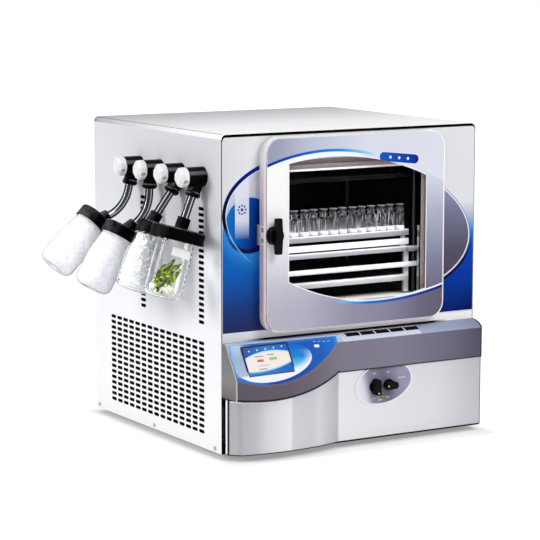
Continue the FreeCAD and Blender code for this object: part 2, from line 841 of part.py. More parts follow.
def stoppering_ram():
    """The rod and piston that push the rack up."""
    low = chamber_under - cylinder_length + 5 + touch_gap
    top = chamber_floor + lower_shelf_rise
    rod = cylinder((chamber_centre_x, ram_y, low), Z_AXIS, ram_radius, top - low)
    piston = cylinder((chamber_centre_x, ram_y, low), Z_AXIS, cylinder_radius - cylinder_wall - shaft_gap,
                      piston_height)
    return fused([rod, piston])


# ------------------------------------------------------------------ door

def door_panel():
    """A thick clear acrylic plate with eased edges, bored for the handle's shaft."""
    plate = rounded_plate(door_left, door_right, door_front, door_back, door_bottom, door_top, door_corner)
    rim = [edge for edge in plate.Edges if abs(edge.CenterOfMass.y - door_front) < 0.01]
    plate = plate.makeChamfer(1.2, rim)
    return plate.cut(cylinder((handle_x, door_front - 1, handle_z), Y_AXIS, shaft_radius + shaft_gap,
                              door_thick + 2))


def circle_z(centre, radius, x, side):
    """Height of a circle at x, on its upper (side 1) or lower (side -1) half."""
    return centre[1] + side * math.sqrt(radius ** 2 - (x - centre[0]) ** 2)


def door_print():
    """The printed frame on the door's front, with the window left clear between two arcs."""
    inset = print_inset
    film = rounded_plate(door_left + inset, door_right - inset, door_front - print_thick, door_front,
                         door_bottom + inset, door_top - inset, door_corner - inset)
    upper = (door_left + window_top_peak[0], door_bottom + window_top_peak[1] - window_top_radius)
    lower = (door_left + window_low_point[0], door_bottom + window_low_point[1] + window_low_radius)
    x0 = door_left + window_left
    x1 = door_right - window_right
    xm = (x0 + x1) / 2
    y = door_front - 2
    tops = [Vector(x, y, circle_z(upper, window_top_radius, x, 1)) for x in (x0, xm, x1)]
    lows = [Vector(x, y, circle_z(lower, window_low_radius, x, -1)) for x in (x0, xm, x1)]
    window = face_of([arc(*tops), line(tops[2], lows[2]), arc(*lows), line(lows[0], tops[0])])
    window = window.extrude(Vector(0, 4, 0))
    hub = cylinder((handle_x, y, handle_z), Y_AXIS, hub_radius + hole_gap, 4)
    return drilled(film, [window, hub])


def hinge_levels():
    return (door_bottom + hinge_inset, door_top - hinge_inset)


def knuckle(z, length, bore):
    solid = cylinder((hinge_x, hinge_y, z), Z_AXIS, knuckle_radius, length)
    return solid.cut(cylinder((hinge_x, hinge_y, z - 1), Z_AXIS, bore, length + 2))


def hinge_cabinet_leaves():
    """Hinge leaves screwed to the fascia, each with the middle knuckle."""
    solids = []
    half = knuckle_length / 2 - touch_gap / 2
    for z in hinge_levels():
        leaf = box(door_right - 10, -leaf_thick, z - knuckle_length * 1.4, hinge_x + 11, 0,
                   z + knuckle_length * 1.4)
        web = box(hinge_x - 4.5, hinge_y, z - half, hinge_x + 4.5, -leaf_thick, z + half)
        ring = knuckle(z - half, 2 * half, pin_radius + 0.02)
        bore = cylinder((hinge_x, hinge_y, z - half - 1), Z_AXIS, pin_radius + 0.02, 2 * half + 2)
        solids.append(fused([leaf, web.cut(bore), ring]))
    return Part.makeCompound(solids)


def hinge_door_leaves():
    """Hinge leaves screwed to the door's edge, each with an upper and a lower knuckle."""
    solids = []
    half = knuckle_length / 2 + touch_gap / 2
    reach = knuckle_length - touch_gap / 2
    leaf = 2.5
    for z in hinge_levels():
        plate = box(door_right, door_front + 3, z - half - reach,
                    door_right + leaf, hinge_y, z + half + reach)
        notch = box(door_right - 1, hinge_y - knuckle_radius - 1, z - half,
                    door_right + leaf + 1, 0, z + half)
        parts = [plate.cut(notch)]
        for low in (z - half - reach, z + half):
            parts.append(knuckle(low, reach, pin_radius + shaft_gap))
        bore = cylinder((hinge_x, hinge_y, z - 60), Z_AXIS, pin_radius + shaft_gap, 120)
        solids.append(fused(parts).cut(bore))
    return Part.makeCompound(solids)


def hinge_pins():
    """Headed pins, held in the cabinet's knuckles."""
    solids = []
    reach = knuckle_length * 1.5
    for z in hinge_levels():
        pin = cylinder((hinge_x, hinge_y, z - reach), Z_AXIS, pin_radius, 2 * reach + touch_gap)
        head = cylinder((hinge_x, hinge_y, z + reach + touch_gap), Z_AXIS, pin_radius + 1.5, 2)
        solids.append(fused([pin, head]))
    return Part.makeCompound(solids)


def door_handle():
    """A moulded T-grip on a round hub, with the shaft that runs through the door."""
    face = door_front - touch_gap
    back = face - hub_length
    mid = grip_length * 0.18
    end = grip_length / 2
    thin = grip_depth * 0.14
    grip = polygon([(handle_x - grip_width / 2, back, handle_z - mid),
                    (handle_x - grip_width / 2, back - thin, handle_z - end),
                    (handle_x - grip_width / 2, back - grip_depth + thin, handle_z - end),
                    (handle_x - grip_width / 2, back - grip_depth, handle_z - mid),
                    (handle_x - grip_width / 2, back - grip_depth, handle_z + mid),
                    (handle_x - grip_width / 2, back - grip_depth + thin, handle_z + end),
                    (handle_x - grip_width / 2, back - thin, handle_z + end),
                    (handle_x - grip_width / 2, back, handle_z + mid)])
    grip = grip.extrude(Vector(grip_width, 0, 0))
    grip = grip.makeFillet(grip_corner, along(grip, X_AXIS))
    rims = [edge for edge in grip.Edges if abs(edge.CenterOfMass.x - handle_x) > grip_width / 2 - 0.1]
    grip = grip.makeFillet(grip_round, rims)
    hub_profile = [(0, 0), (hub_radius - 1, 0), (hub_radius, 1), (hub_radius, 4), (hub_neck_radius, 5.5),
                   (hub_neck_radius, hub_length + 3), (0, hub_length + 3)]
    hub = turned(hub_profile, (handle_x, face, handle_z), (0, -1, 0))
    shaft = cylinder((handle_x, face - 2, handle_z), Y_AXIS, shaft_radius, -face + 2 - cam_gap - cam_thick)
    return fused([grip, hub, shaft])


def latch_cam():
    """The cam plate on the inner end of the handle's shaft, hanging down while the door is free."""
    y0 = -cam_gap - cam_thick
    disc = cylinder((handle_x, y0, handle_z), Y_AXIS, cam_hub_radius, cam_thick)
    tongue = box(handle_x - cam_width / 2, y0, handle_z - cam_reach, handle_x + cam_width / 2, -cam_gap,
                 handle_z)
    tip = [edge for edge in along(tongue, Y_AXIS) if edge.CenterOfMass.z < handle_z - 1]
    return fused([disc, tongue.makeFillet(3.0, tip)])


def latch_keeper():
    """A folded catch on the fascia. The cam swings behind its lip when the handle is turned."""
    x1 = handle_x - cam_reach * 0.55
    x0 = handle_x - cam_reach - 5
    z0 = handle_z - keeper_height / 2
    z1 = handle_z + keeper_height / 2
    lip = -cam_gap - cam_thick - touch_gap
    base = box(x0, -cam_gap + touch_gap, z0, x1, 0, z1)
    web = box(x0, -door_standoff + touch_gap, z0, x0 + 3, 0, z1)
    front = box(x0, -door_standoff + touch_gap, z0, x1, lip, z1)
    return fused([base, web, front])


# ------------------------------------------------------------------ sample ports and flasks

def lean_vector(degrees):
    """A direction in the X-Z plane, down and out to the left by an angle from the vertical."""
    angle = math.radians(degrees)
    return Vector(-math.sin(angle), 0, -math.cos(angle))


def leg_tip(index):
    return Vector(-leg_end[0], port_ys[index], port_rise - leg_end[1])


def port_valves():
    """Four rubber sample valves: a barrel on the side wall and a beaded leg that points down and out."""
    solids = []
    bead = [(0, 0), (leg_bead - 5, 0), (leg_bead - 1.5, 2), (leg_bead, 5), (leg_bead, 9),
            (leg_radius, 12), (leg_radius, 40), (0, 40)]
    for index, y in enumerate(port_ys):
        lean = lean_vector(tubes[index][0])
        tip = leg_tip(index)
        barrel = cylinder((0, y, port_rise), (-1, 0, 0), barrel_radius, barrel_length)
        rim = [edge for edge in barrel.Edges if edge.CenterOfMass.x < -barrel_length + 0.01]
        barrel = barrel.makeFillet(3.0, rim)
        body = fused([barrel, turned(bead, tip, lean * -1)])
        body = body.common(box(-200, y - 50, port_rise - 150, 0, y + 50, port_rise + 50))
        tools = [cylinder((1, y, port_rise), (-1, 0, 0), stub_radius + touch_gap, stub_length + 1),
                 cylinder((-barrel_length - 1, y, port_rise), X_AXIS, port_stem_radius + shaft_gap, 21),
                 Part.makeCylinder(tube_radius + tube_gap, tube_in_leg + 1, tip - lean * tube_in_leg, lean)]
        solids.append(drilled(body, tools))
    return Part.makeCompound(solids)


def port_knob(index):
    """The white knob at the end of a valve: an eight-sided cap on a round skirt, with a vent hole."""
    y = port_ys[index]
    face = -barrel_length - touch_gap
    skirt = cylinder((face, y, port_rise), (-1, 0, 0), port_knob_radius, port_knob_length * 0.6)
    corners = [math.radians(45 * corner + 22.5) for corner in range(8)]

    def octagon(radius, depth):
        points = [(face - depth, y + radius * math.cos(a), port_rise + radius * math.sin(a)) for a in corners]
        return polygon(points).OuterWire

    cap = Part.makeLoft([octagon(port_knob_radius, port_knob_length * 0.55),
                         octagon(port_knob_radius * 0.98, port_knob_length * 0.75),
                         octagon(port_knob_radius * 0.7, port_knob_length)], True, True)
    stem = cylinder((face - 2, y, port_rise), X_AXIS, port_stem_radius, 20)
    knob = fused([skirt, cap, stem])
    angle = math.radians(vent_hole_angle)
    outward = (0, -math.cos(angle), -math.sin(angle))
    start = (face - port_knob_length * 0.45, y + outward[1] * 13, port_rise + outward[2] * 13)
    return knob.cut(cylinder(start, outward, vent_hole_radius, port_knob_radius))


def tube_path(index):
    """Centre line of an adapter tube, from inside its leg to inside the rubber top, and its visible end."""
    first, last, straight, bend = tubes[index]
    heading = lean_vector(first)
    start = leg_tip(index)
    begin = start - heading * (tube_in_leg - touch_gap)
    bend_start = start + heading * straight
    if bend == 0:
        end = bend_start
        return [line(begin, end + heading * tube_in_top)], end

    def on_bend(lean):
        a, b = math.radians(first), math.radians(lean)
        return bend_start + Vector(math.cos(b) - math.cos(a), 0, math.sin(a) - math.sin(b)) * bend

    end = on_bend(last)
    edges = [line(begin, bend_start),
             arc(bend_start, on_bend((first + last) / 2), end),
             line(end, end + lean_vector(last) * tube_in_top)]
    return edges, end


def adapter_tubes():
    """Steel tubes between the valves and the flasks: the front two straight, the back two bent."""
    solids = []
    for index in range(port_count):
        edges, end = tube_path(index)
        path = Part.Wire(edges)
        heading = lean_vector(tubes[index][0])
        begin = leg_tip(index) - heading * (tube_in_leg - touch_gap)
        outer, core = [path.makePipeShell([Part.Wire(Part.makeCircle(radius, begin, heading))], True, True)
                       for radius in (tube_radius, tube_radius - tube_wall)]
        solids.append(outer.cut(core))
    return Part.makeCompound(solids)


def top_rim(index):
    """The middle of a rubber top's lower rim, and the direction of its flask."""
    lean, distance = top_reaches[index]
    end = tube_path(index)[1]
    return end + lean_vector(lean) * distance, lean_vector(flask_sizes[index][0])


def flask_tops():
    """Rubber tops: a cap over the flask's rim and a collar that follows the tube into it."""
    solids = []
    for index in range(port_count):
        rim, axis = top_rim(index)
        lean, mouth, body, length, radius = flask_sizes[index]
        back = rim - axis * top_height
        plug = top_height - top_rim_depth
        cap = turned([(0, 0), (radius - 3, 0), (radius, 3), (radius, top_height),
                      (mouth + tube_gap, top_height), (mouth + tube_gap, plug), (0, plug)], back, axis)
        end = tube_path(index)[1]
        heading = lean_vector(tubes[index][1])
        collar = Part.makeCylinder(collar_radius, collar_length, end, heading)
        inside = Part.makeCylinder(radius * 2, length, back + axis * plug, axis)
        bore = Part.makeCylinder(tube_radius + tube_gap, collar_length + 2, end - heading, heading)
        solids.append(fused([cap, collar.cut(inside)]).cut(bore))
    return Part.makeCompound(solids)


def flask(index):
    """A blown glass flask: a straight rim, a body that widens, and a rounded foot with a dimple."""
    rim, axis = top_rim(index)
    lean, mouth, body, length, radius = flask_sizes[index]
    neck = top_rim_depth + 2
    shoulder = length * 0.46

    def filled(inset):
        side = body - inset
        floor = length - inset
        bend = flask_foot_radius - inset
        centre = (side - bend, floor - bend)
        corner = (centre[0] + bend * math.sin(math.pi / 4), centre[1] + bend * math.cos(math.pi / 4))
        wall = [Vector(0, 0, 0), Vector(mouth - inset, 0, 0), Vector(mouth - inset, 0, neck),
                Vector(side, 0, shoulder), Vector(side, 0, centre[1])]
        base = [Vector(centre[0], 0, floor), Vector(centre[0] * 0.6, 0, floor),
                Vector(0, 0, floor - flask_dimple)]
        edges = [line(a, b) for a, b in zip(wall, wall[1:])]
        edges.append(arc(wall[-1], Vector(corner[0], 0, corner[1]), base[0]))
        edges += [line(a, b) for a, b in zip(base, base[1:])]
        edges.append(line(base[-1], wall[0]))
        return face_of(edges).revolve(Vector(0, 0, 0), Z_AXIS, 360)

    shell = filled(0).cut(filled(flask_wall))
    return placed(shell, rim - axis * top_rim_depth, axis)


def port_manifold():
    """The closed tube along the left wall that feeds the four ports, with its link to the drum."""
    front = port_ys[0] - 30
    length = drum_place[1] + manifold_radius - front
    tube = cylinder((manifold_x, front, port_rise), Y_AXIS, manifold_radius, length)
    parts = [tube]
    for y in port_ys:
        parts.append(cylinder((manifold_x, y, port_rise), (-1, 0, 0), stub_radius,
                              manifold_x + stub_length - touch_gap))
    parts.append(cylinder((manifold_x, drum_place[1], port_rise), X_AXIS, 18,
                          drum_place[0] - drum_radius + 6 - manifold_x))
    tube_set = fused(parts)
    drum = cylinder((drum_place[0], drum_place[1], deck_top), Z_AXIS, drum_radius, cabinet_height)
    return tube_set.cut(drum)


# ------------------------------------------------------------------ inside the base and the back

def inner_frame():
    """A deck on four angle legs that carries the chamber and the drum."""
    x0, x1 = 70.0, cabinet_width - 134
    y0, y1 = 12.0, rear_face - 6
    deck = box(x0, y0, deck_top - deck_thick, x1, y1, deck_top)
    parts = [deck]
    for x, side in ((x0, 1), (x1, -1)):
        for y, end in ((y0, 1), (y1, -1)):
            flat_x = sorted((x, x + side * leg_side))
            flat_y = sorted((y, y + end * leg_side))
            thin_x = sorted((x, x + side * deck_thick))
            thin_y = sorted((y, y + end * deck_thick))
            parts.append(box(flat_x[0], thin_y[0], sheet, flat_x[1], thin_y[1], deck_top - deck_thick))
            parts.append(box(thin_x[0], flat_y[0], sheet, thin_x[1], flat_y[1], deck_top - deck_thick))
    hole = cylinder((chamber_centre_x, ram_y, deck_top - deck_thick - 1), Z_AXIS, cylinder_radius + 0.5, 9)
    return drilled(fused(parts), [hole])


def collector_drum():
    """The closed cold drum behind the chamber, with its domed lid and the duct to the chamber."""
    x, y = drum_place
    top = drum_height
    profile = [(0, 0), (drum_radius, 0), (drum_radius, top - 30), (drum_radius * 0.8, top - 8),
               (drum_radius * 0.45, top), (0, top)]
    body = turned(profile, (x, y, deck_top))
    duct = cylinder((x, chamber_depth + chamber_wall, duct_z), Y_AXIS, port_duct_radius, y - chamber_depth
                    - chamber_wall)
    outlet = cylinder((x, y, vacuum_z), Y_AXIS, vacuum_radius + 4, rear_face - 20 - y)
    return fused([body, duct, outlet])


def vacuum_port():
    """The hose connection for the vacuum pump: a flange inside the back and a plain spigot outside."""
    x = drum_place[0]
    spigot = cylinder((x, rear_face - 20, vacuum_z), Y_AXIS, vacuum_radius, 20 + sheet + vacuum_length + 3)
    flange = cylinder((x, cabinet_depth, vacuum_z), Y_AXIS, 22, 3)
    return fused([spigot, flange])


def compressors():
    """Two hermetic compressors with domed cans on three-lobed mounting feet."""
    r = compressor_radius
    h = compressor_height
    profile = [(0, 10), (r * 0.8, 10), (r, 26), (r, h - 34), (r * 0.86, h - 14), (r * 0.5, h - 2), (0, h)]
    solids = []
    for x, y in compressor_places:
        can = turned(profile, (x, y, sheet))
        feet_plate = box(x - r * 0.8, y - r * 0.8, sheet, x + r * 0.8, y + r * 0.8, sheet + 14)
        solids.append(fused([can, feet_plate]))
    return Part.makeCompound(solids)


def condenser_coil():
    """The finned condenser block inside the slotted side."""
    depth, length, height = coil_block
    x0 = 14.0
    y0 = slot_first[0] + 20
    z0 = sheet
    parts = [box(x0 + 4, y0, z0, x0 + depth - 4, y0 + length, z0 + height)]
    pitch = length / (coil_fins - 1)
    for index in range(coil_fins):
        y = y0 + index * pitch
        parts.append(box(x0, y - 1.5, z0, x0 + depth, y + 1.5, z0 + height))
    return fused(parts)


def fan_shroud():
    """A plate with a round opening, and the motor on three arms behind it."""
    fan_x, fan_y, fan_z = fan_place
    plate = box(fan_x, fan_y - 110, sheet, fan_x + 3, fan_y + 110, fan_z + 104)
    opening = cylinder((fan_x - 1, fan_y, fan_z), X_AXIS, fan_radius + 5, 6)
    plate = plate.cut(opening)
    motor = cylinder((fan_x + 34, fan_y, fan_z), X_AXIS, motor_radius, 44)
    shaft = cylinder((fan_x + 6, fan_y, fan_z), X_AXIS, pin_radius, 30)
    arm = box(fan_x + 36, fan_y - 5, fan_z, fan_x + 44, fan_y + 5, fan_z + fan_radius + 12)
    hook = box(fan_x + 2, fan_y - 5, fan_z + fan_radius + 6, fan_x + 44, fan_y + 5, fan_z + fan_radius + 12)
    bracket = arm.fuse(hook)
    parts = [plate, motor, shaft]
    for turn in (60, 180, 300):
        copy = bracket.copy()
        copy.rotate(Vector(fan_x, fan_y, fan_z), X_AXIS, turn)
        parts.append(copy)
    return fused(parts)


def fan_rotor():
    """A pressed fan: a hub with tilted blades."""
    fan_x, fan_y, fan_z = fan_place
    hub = cylinder((fan_x + 8, fan_y, fan_z), X_AXIS, 20, 22)
    parts = [hub]
    for index in range(fan_blades):
        blade = box(-1, -17, 14, 1, 17, fan_radius)
        blade.rotate(Vector(0, 0, 0), Z_AXIS, 30)
        blade.translate(Vector(fan_x + 19, fan_y, fan_z))
        blade.rotate(Vector(fan_x, fan_y, fan_z), X_AXIS, index * 360.0 / fan_blades)
        parts.append(blade)
    bore = cylinder((fan_x, fan_y, fan_z), X_AXIS, pin_radius + shaft_gap, 60)
    return drilled(fused(parts), [bore])


def control_board():
    """The controller's circuit board on four standoffs behind the console."""
    w, h = board_size
    x0, z0 = 102.0, 152.0
    board = box(x0, 8, z0, x0 + w, 9.6, z0 + h)
    parts = [board]
    for x in (x0 + 8, x0 + w - 8):
        for z in (z0 + 8, z0 + h - 8):
            parts.append(cylinder((x, 0, z), Y_AXIS, 3.5, 8))
    parts.append(box(x0 + 18, 9.6, z0 + 20, x0 + 48, 24, z0 + 64))
    parts.append(box(x0 + 64, 9.6, z0 + 36, x0 + 98, 13, z0 + 70))
    parts.append(box(x0 + 120, 9.6, z0 + 14, x0 + 130, 20, z0 + 78))
    return fused(parts)


def power_entry():
    """The mains inlet with its three blades, and the frame of the power switch, in one moulding."""
    x, z = inlet_place
    w, h = inlet_size
    gap = touch_gap
    back = cabinet_depth
    body = box(x + gap, rear_face - 30, z + gap, x + w - gap, back, z + h - gap)
    lip = box(x - 5, back, z - 5, x + w + 5, back + 2, z + h + 5)
    socket = box(x + 42, back - 18, z + 8, x + w - 8, back + 3, z + h - 8)
    switch = box(x + 9, back - 14, z + 7, x + 31, back + 3, z + h - 7)
    module = drilled(fused([body, lip]), [socket, switch])
    blades = []
    centre = x + (42 + w - 8) / 2
    for dx, dz in ((-9, -3), (9, -3), (0, 5)):
        blades.append(box(centre + dx - 1, back - 18, z + h / 2 + dz - 3, centre + dx + 1, back - 4,
                          z + h / 2 + dz + 3))
    pin = cylinder((x + rocker_offset - 4, back - rocker_depth, z + h / 2), X_AXIS, rocker_pin,
                   rocker_width + 8)
    return fused([module] + blades + [pin])


def power_rocker():
    """The rocker of the power switch, bored for its pin and tilted to off."""
    x, z = inlet_place
    half = 12.6
    profile = [(3, -6), (-3, -half), (-7, -half), (-5, 0), (-7, half), (-3, half), (3, 6)]
    rocker = polygon([(x + rocker_offset, -y, up) for y, up in profile])
    rocker = rocker.extrude(Vector(rocker_width, 0, 0))
    rocker.rotate(Vector(0, 0, 0), X_AXIS, rocker_tilt)
    pivot = (x + rocker_offset, cabinet_depth - rocker_depth, z + inlet_size[1] / 2)
    rocker.translate(Vector(0, pivot[1], pivot[2]))
    return rocker.cut(cylinder((pivot[0] - 1, pivot[1], pivot[2]), X_AXIS, rocker_pin + shaft_gap,
                               rocker_width + 2))


# ------------------------------------------------------------------ build, place and write

def build():
    pieces = {
        "base_pan": base_pan(),
        "feet": feet(),
        "left_side_panel": left_side_panel(),
        "cabinet_cover": cabinet_cover(),
        "rear_panel": rear_panel(),
        "panel_screws": panel_screws(),
        "front_fascia": front_fascia(),
        "console_housing": console_housing(),
        "console_overlay": console_overlay(),
        "touch_screen": touch_screen(),
        "lower_front_panel": lower_front_panel(),
        "valve_plate": valve_plate(),
        "control_valves": control_valves(),
        "stopper_knob": selector_knob(stopper_knob_place, stopper_knob_length, 0),
        "vent_knob": selector_knob(vent_knob_place, vent_knob_length, 90),
        "gas_inlet_barb": gas_inlet_barb(),
        "chamber_shell": chamber_shell(),
        "door_gasket": door_gasket(),
        "flange_screws": flange_screws(),
        "guide_rods": guide_rods(),
        "press_plate": press_plate(),
        "front_rail": front_rail(),
        "shelves": shelves(),
        "rack_frame": rack_frame(),
        "vials": vials(),
        "vial_stoppers": vial_stoppers(),
        "stoppering_cylinder": stoppering_cylinder(),
        "stoppering_ram": stoppering_ram(),
        "door_panel": door_panel(),
        "door_print": door_print(),
        "hinge_cabinet_leaves": hinge_cabinet_leaves(),
        "hinge_door_leaves": hinge_door_leaves(),
        "hinge_pins": hinge_pins(),
        "door_handle": door_handle(),
        "latch_cam": latch_cam(),
        "latch_keeper": latch_keeper(),
        "port_valves": port_valves(),
        "adapter_tubes": adapter_tubes(),
        "flask_tops": flask_tops(),
        "port_manifold": port_manifold(),
        "collector_drum": collector_drum(),
        "vacuum_port": vacuum_port(),
        "inner_frame": inner_frame(),
        "compressors": compressors(),
        "condenser_coil": condenser_coil(),
        "fan_shroud": fan_shroud(),
        "fan_rotor": fan_rotor(),
        "control_board": control_board(),
        "power_entry": power_entry(),
        "power_rocker": power_rocker(),
    }
    for index in range(port_count):
        pieces["port_knob_%d" % (index + 1)] = port_knob(index)
        pieces["flask_%d" % (index + 1)] = flask(index)
    return pieces


def main():
    pieces = build()
    whole = Part.makeCompound(list(pieces.values())).optimalBoundingBox(False)
    shift = Vector(-(whole.XMin + whole.XMax) / 2, -(whole.YMin + whole.YMax) / 2, -whole.ZMin)
    os.makedirs("parts", exist_ok=True)
    for name, shape in pieces.items():
        shape.translate(shift)
        shape.exportStep("parts/%s.step" % name)
    print("shift", [round(value, 4) for value in shift])
    print("size", [round(value, 2) for value in (whole.XLength, whole.YLength, whole.ZLength)])
    return shift


shift = main()
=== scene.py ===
# %% [markdown]
# # A benchtop freeze dryer
# A freeze dryer freezes wet samples and then draws the ice off as vapour under vacuum. The machine's pieces
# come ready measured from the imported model. This lesson gives each piece its finish, fills the flasks and
# the vials, and lights the machine like a catalogue picture. The frame is loaded first, because every place
# below is read from it.

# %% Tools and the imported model
import math
import random

import bmesh
import bpy
from mathutils import Matrix, Vector, noise


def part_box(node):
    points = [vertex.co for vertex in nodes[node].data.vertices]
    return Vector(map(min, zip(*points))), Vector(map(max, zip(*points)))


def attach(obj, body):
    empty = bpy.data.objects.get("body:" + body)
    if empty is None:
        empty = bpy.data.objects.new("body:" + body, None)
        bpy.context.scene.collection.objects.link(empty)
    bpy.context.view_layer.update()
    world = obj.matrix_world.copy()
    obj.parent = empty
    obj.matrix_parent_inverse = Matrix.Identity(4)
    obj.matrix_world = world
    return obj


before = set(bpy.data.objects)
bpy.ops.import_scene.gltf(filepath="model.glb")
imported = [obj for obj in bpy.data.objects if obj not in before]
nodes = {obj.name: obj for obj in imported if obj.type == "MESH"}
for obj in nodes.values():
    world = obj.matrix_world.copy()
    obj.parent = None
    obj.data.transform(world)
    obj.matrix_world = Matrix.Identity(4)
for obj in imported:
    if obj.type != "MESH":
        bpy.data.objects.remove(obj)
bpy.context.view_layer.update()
print(len(nodes), "pieces come from the packed model")

# %% [markdown]
# The sheet-metal drawings of such a machine are in millimetres from the cabinet's lower left front corner,
# while Blender works in metres from the middle of the machine. One small function turns the first into the
# second, so that the sizes below can be read like a drawing.

# %% From drawing millimetres to the scene
MM = 0.001
CORNER = Vector((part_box("left_side_panel")[0].x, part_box("front_fascia")[0].y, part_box("base_pan")[0].z))


def at(x, y, z):
    """The scene place of a point on the drawing."""
    return CORNER + Vector((x, y, z)) * MM


def drawn(box):
    """The two corners of a box from the frame, as places on the drawing."""
    return [(corner - CORNER) / MM for corner in box]


def put_in_scene(name, data):
    """A new object in the scene that shows a mesh, a lamp or a camera."""
    made = bpy.data.objects.new(name, data)
    bpy.context.scene.collection.objects.link(made)
    return made


print("the cabinet's corner is at", tuple(round(value, 4) for value in CORNER))

# %% [markdown]
# A long lens a few metres away keeps the upright edges nearly parallel, as in a product picture. The camera
# stands to the left and a little above, so that the front and the side with the flasks both show.

# %% The camera
LENS_MM, SENSOR_MM = 148.1, 36.0
CAMERA_PLACE = (-2392.28, -4187.32, 1109.87)
TURN_LEFT, TIP_DOWN, ROLL = -0.541263, -0.143244, -0.001406

camera_data = bpy.data.cameras.new("camera")
camera_data.lens, camera_data.sensor_width = LENS_MM, SENSOR_MM
camera_data.clip_start, camera_data.clip_end = 0.1, 200.0
camera = put_in_scene("camera", camera_data)
camera.matrix_world = Matrix.Translation(at(*CAMERA_PLACE))
for turn, axis in ((TURN_LEFT, "Z"), (TIP_DOWN, "X"), (ROLL, "Y"), (math.pi / 2, "X")):
    camera.matrix_world = camera.matrix_world @ Matrix.Rotation(turn, 4, axis)
bpy.context.scene.camera = camera
print("the camera stands", round(camera.location.length, 2), "m from the machine")

# %% [markdown]
# ## Sums on a surface
# Every colour field on this machine has a plain geometric edge: an oval, a circle, a straight line. Instead
# of painted images, each finish works out how far a point lies from such an edge. Math nodes do that, and
# a small class lets the sums be written as sums. Three of its sums make masks, which are 1 on one side of
# a limit and 0 on the other, with an edge as soft as the print's.

# %% Numbers that change over a surface


def colour(red, green, blue):
    """A screen colour from 0 to 255 as the linear colour that shaders use."""
    def linear(value):
        value /= 255
        return value / 12.92 if value <= 0.04045 else ((value + 0.055) / 1.055) ** 2.4
    return linear(red), linear(green), linear(blue), 1.0


def connect(value, socket):
    """Link a field to a socket, or set a plain value on it. Three numbers in brackets are a colour."""
    if isinstance(value, Field):
        socket.id_data.links.new(value.socket, socket)
    elif socket.type == "RGBA" and len(value) == 3:
        socket.default_value = colour(*value)
    else:
        socket.default_value = value


class Field:
    """A number or colour that changes over a surface. Sums written with it become Math nodes."""

    def __init__(self, socket):
        self.socket = socket

    def math(self, operation, *others, clamp=False):
        node = self.socket.id_data.nodes.new("ShaderNodeMath")
        node.operation = operation
        node.use_clamp = clamp
        for slot, value in zip(node.inputs, (self, *others)):
            connect(value, slot)
        return Field(node.outputs[0])

    def __add__(self, other):
        return self.math("ADD", other)

    def __sub__(self, other):
        return self.math("SUBTRACT", other)

    def __mul__(self, other):
        return self.math("MULTIPLY", other)

    def __truediv__(self, other):
        return self.math("DIVIDE", other)

    def from_(self, other):
        """other minus this."""
        return self.math("MULTIPLY_ADD", -1.0, other)

    def size(self):
        return self.math("ABSOLUTE")

    def least(self, other):
        return self.math("MINIMUM", other)

    def most(self, other):
        return self.math("MAXIMUM", other)

    def within(self, low, high):
        """How far the number lies inside a span. Outside it, this is below zero."""
        return (self - low).least(self.from_(high))

    def above(self, limit, soft=0.6):
        """1 where the number is above the limit and 0 below, with an edge that many units soft."""
        return self.math("MULTIPLY_ADD", 1 / soft, 0.5 - limit / soft, clamp=True)

    def below(self, limit, soft=0.6):
        """1 where the number is below the limit and 0 above."""
        return self.math("MULTIPLY_ADD", -1 / soft, 0.5 + limit / soft, clamp=True)

    def line(self, middle, half_width, soft=0.8):
        """1 where the number is within half a width of the middle and 0 elsewhere."""
        return (self - middle).size().below(half_width, soft)

    def between(self, first, last):
        """0 at the first number, 1 at the last, and rising evenly from one to the other."""
        return self.math("MULTIPLY_ADD", 1 / (last - first), -first / (last - first), clamp=True)


def long_side(across, up):
    """The long side of a right triangle with those short sides."""
    return (across * across + up * up).math("SQRT")


print("sums on a surface can now be written like sums")

# %% [markdown]
# A finish is a material with one Principled shader. What is the same all over, such as how metallic a steel
# is, is set on the shader's own socket. What changes, such as the printed colours, is linked to it. Colours
# are laid over each other like screen prints: the finish keeps the tone so far, and each new colour covers
# it where a mask is 1. At the end the finish takes its roughness and its fine relief from its skin.

# %% Noise, places and relief


def noise_field(tree, vector, scale, detail=2.0, roughness=0.5):
    node = tree.nodes.new("ShaderNodeTexNoise")
    node.inputs["Detail"].default_value = detail
    node.inputs["Roughness"].default_value = roughness
    connect(scale, node.inputs["Scale"])
    if vector:
        connect(vector, node.inputs["Vector"])
    return Field(node.outputs[0])


def object_vector(tree, stretch=None):
    """Object coordinates, stretched along each axis if a vector says so."""
    coordinates = tree.nodes.new("ShaderNodeTexCoord")
    if stretch is None:
        return Field(coordinates.outputs["Object"])
    node = tree.nodes.new("ShaderNodeVectorMath")
    node.operation = "MULTIPLY"
    tree.links.new(coordinates.outputs["Object"], node.inputs[0])
    connect(stretch, node.inputs[1])
    return Field(node.outputs[0])


def bumped(tree, height, strength, distance):
    node = tree.nodes.new("ShaderNodeBump")
    connect(strength, node.inputs["Strength"])
    node.inputs["Distance"].default_value = distance
    connect(height, node.inputs["Height"])
    return Field(node.outputs[0])


def from_corner(tree, corner):
    """The socket with the shaded point as millimetres from a corner."""
    coordinates = tree.nodes.new("ShaderNodeTexCoord")
    shift = tree.nodes.new("ShaderNodeVectorMath")
    shift.operation = "MULTIPLY_ADD"
    shift.inputs[1].default_value = (1 / MM,) * 3
    shift.inputs[2].default_value = -corner
    tree.links.new(coordinates.outputs["Object"], shift.inputs[0])
    return shift.outputs[0]


def parts_of(tree, vector):
    """The x, y and z of a vector's socket."""
    split = tree.nodes.new("ShaderNodeSeparateXYZ")
    tree.links.new(vector, split.inputs[0])
    return [Field(output) for output in split.outputs]


print("noise, places and relief can be added to any node tree")

# %% A finish


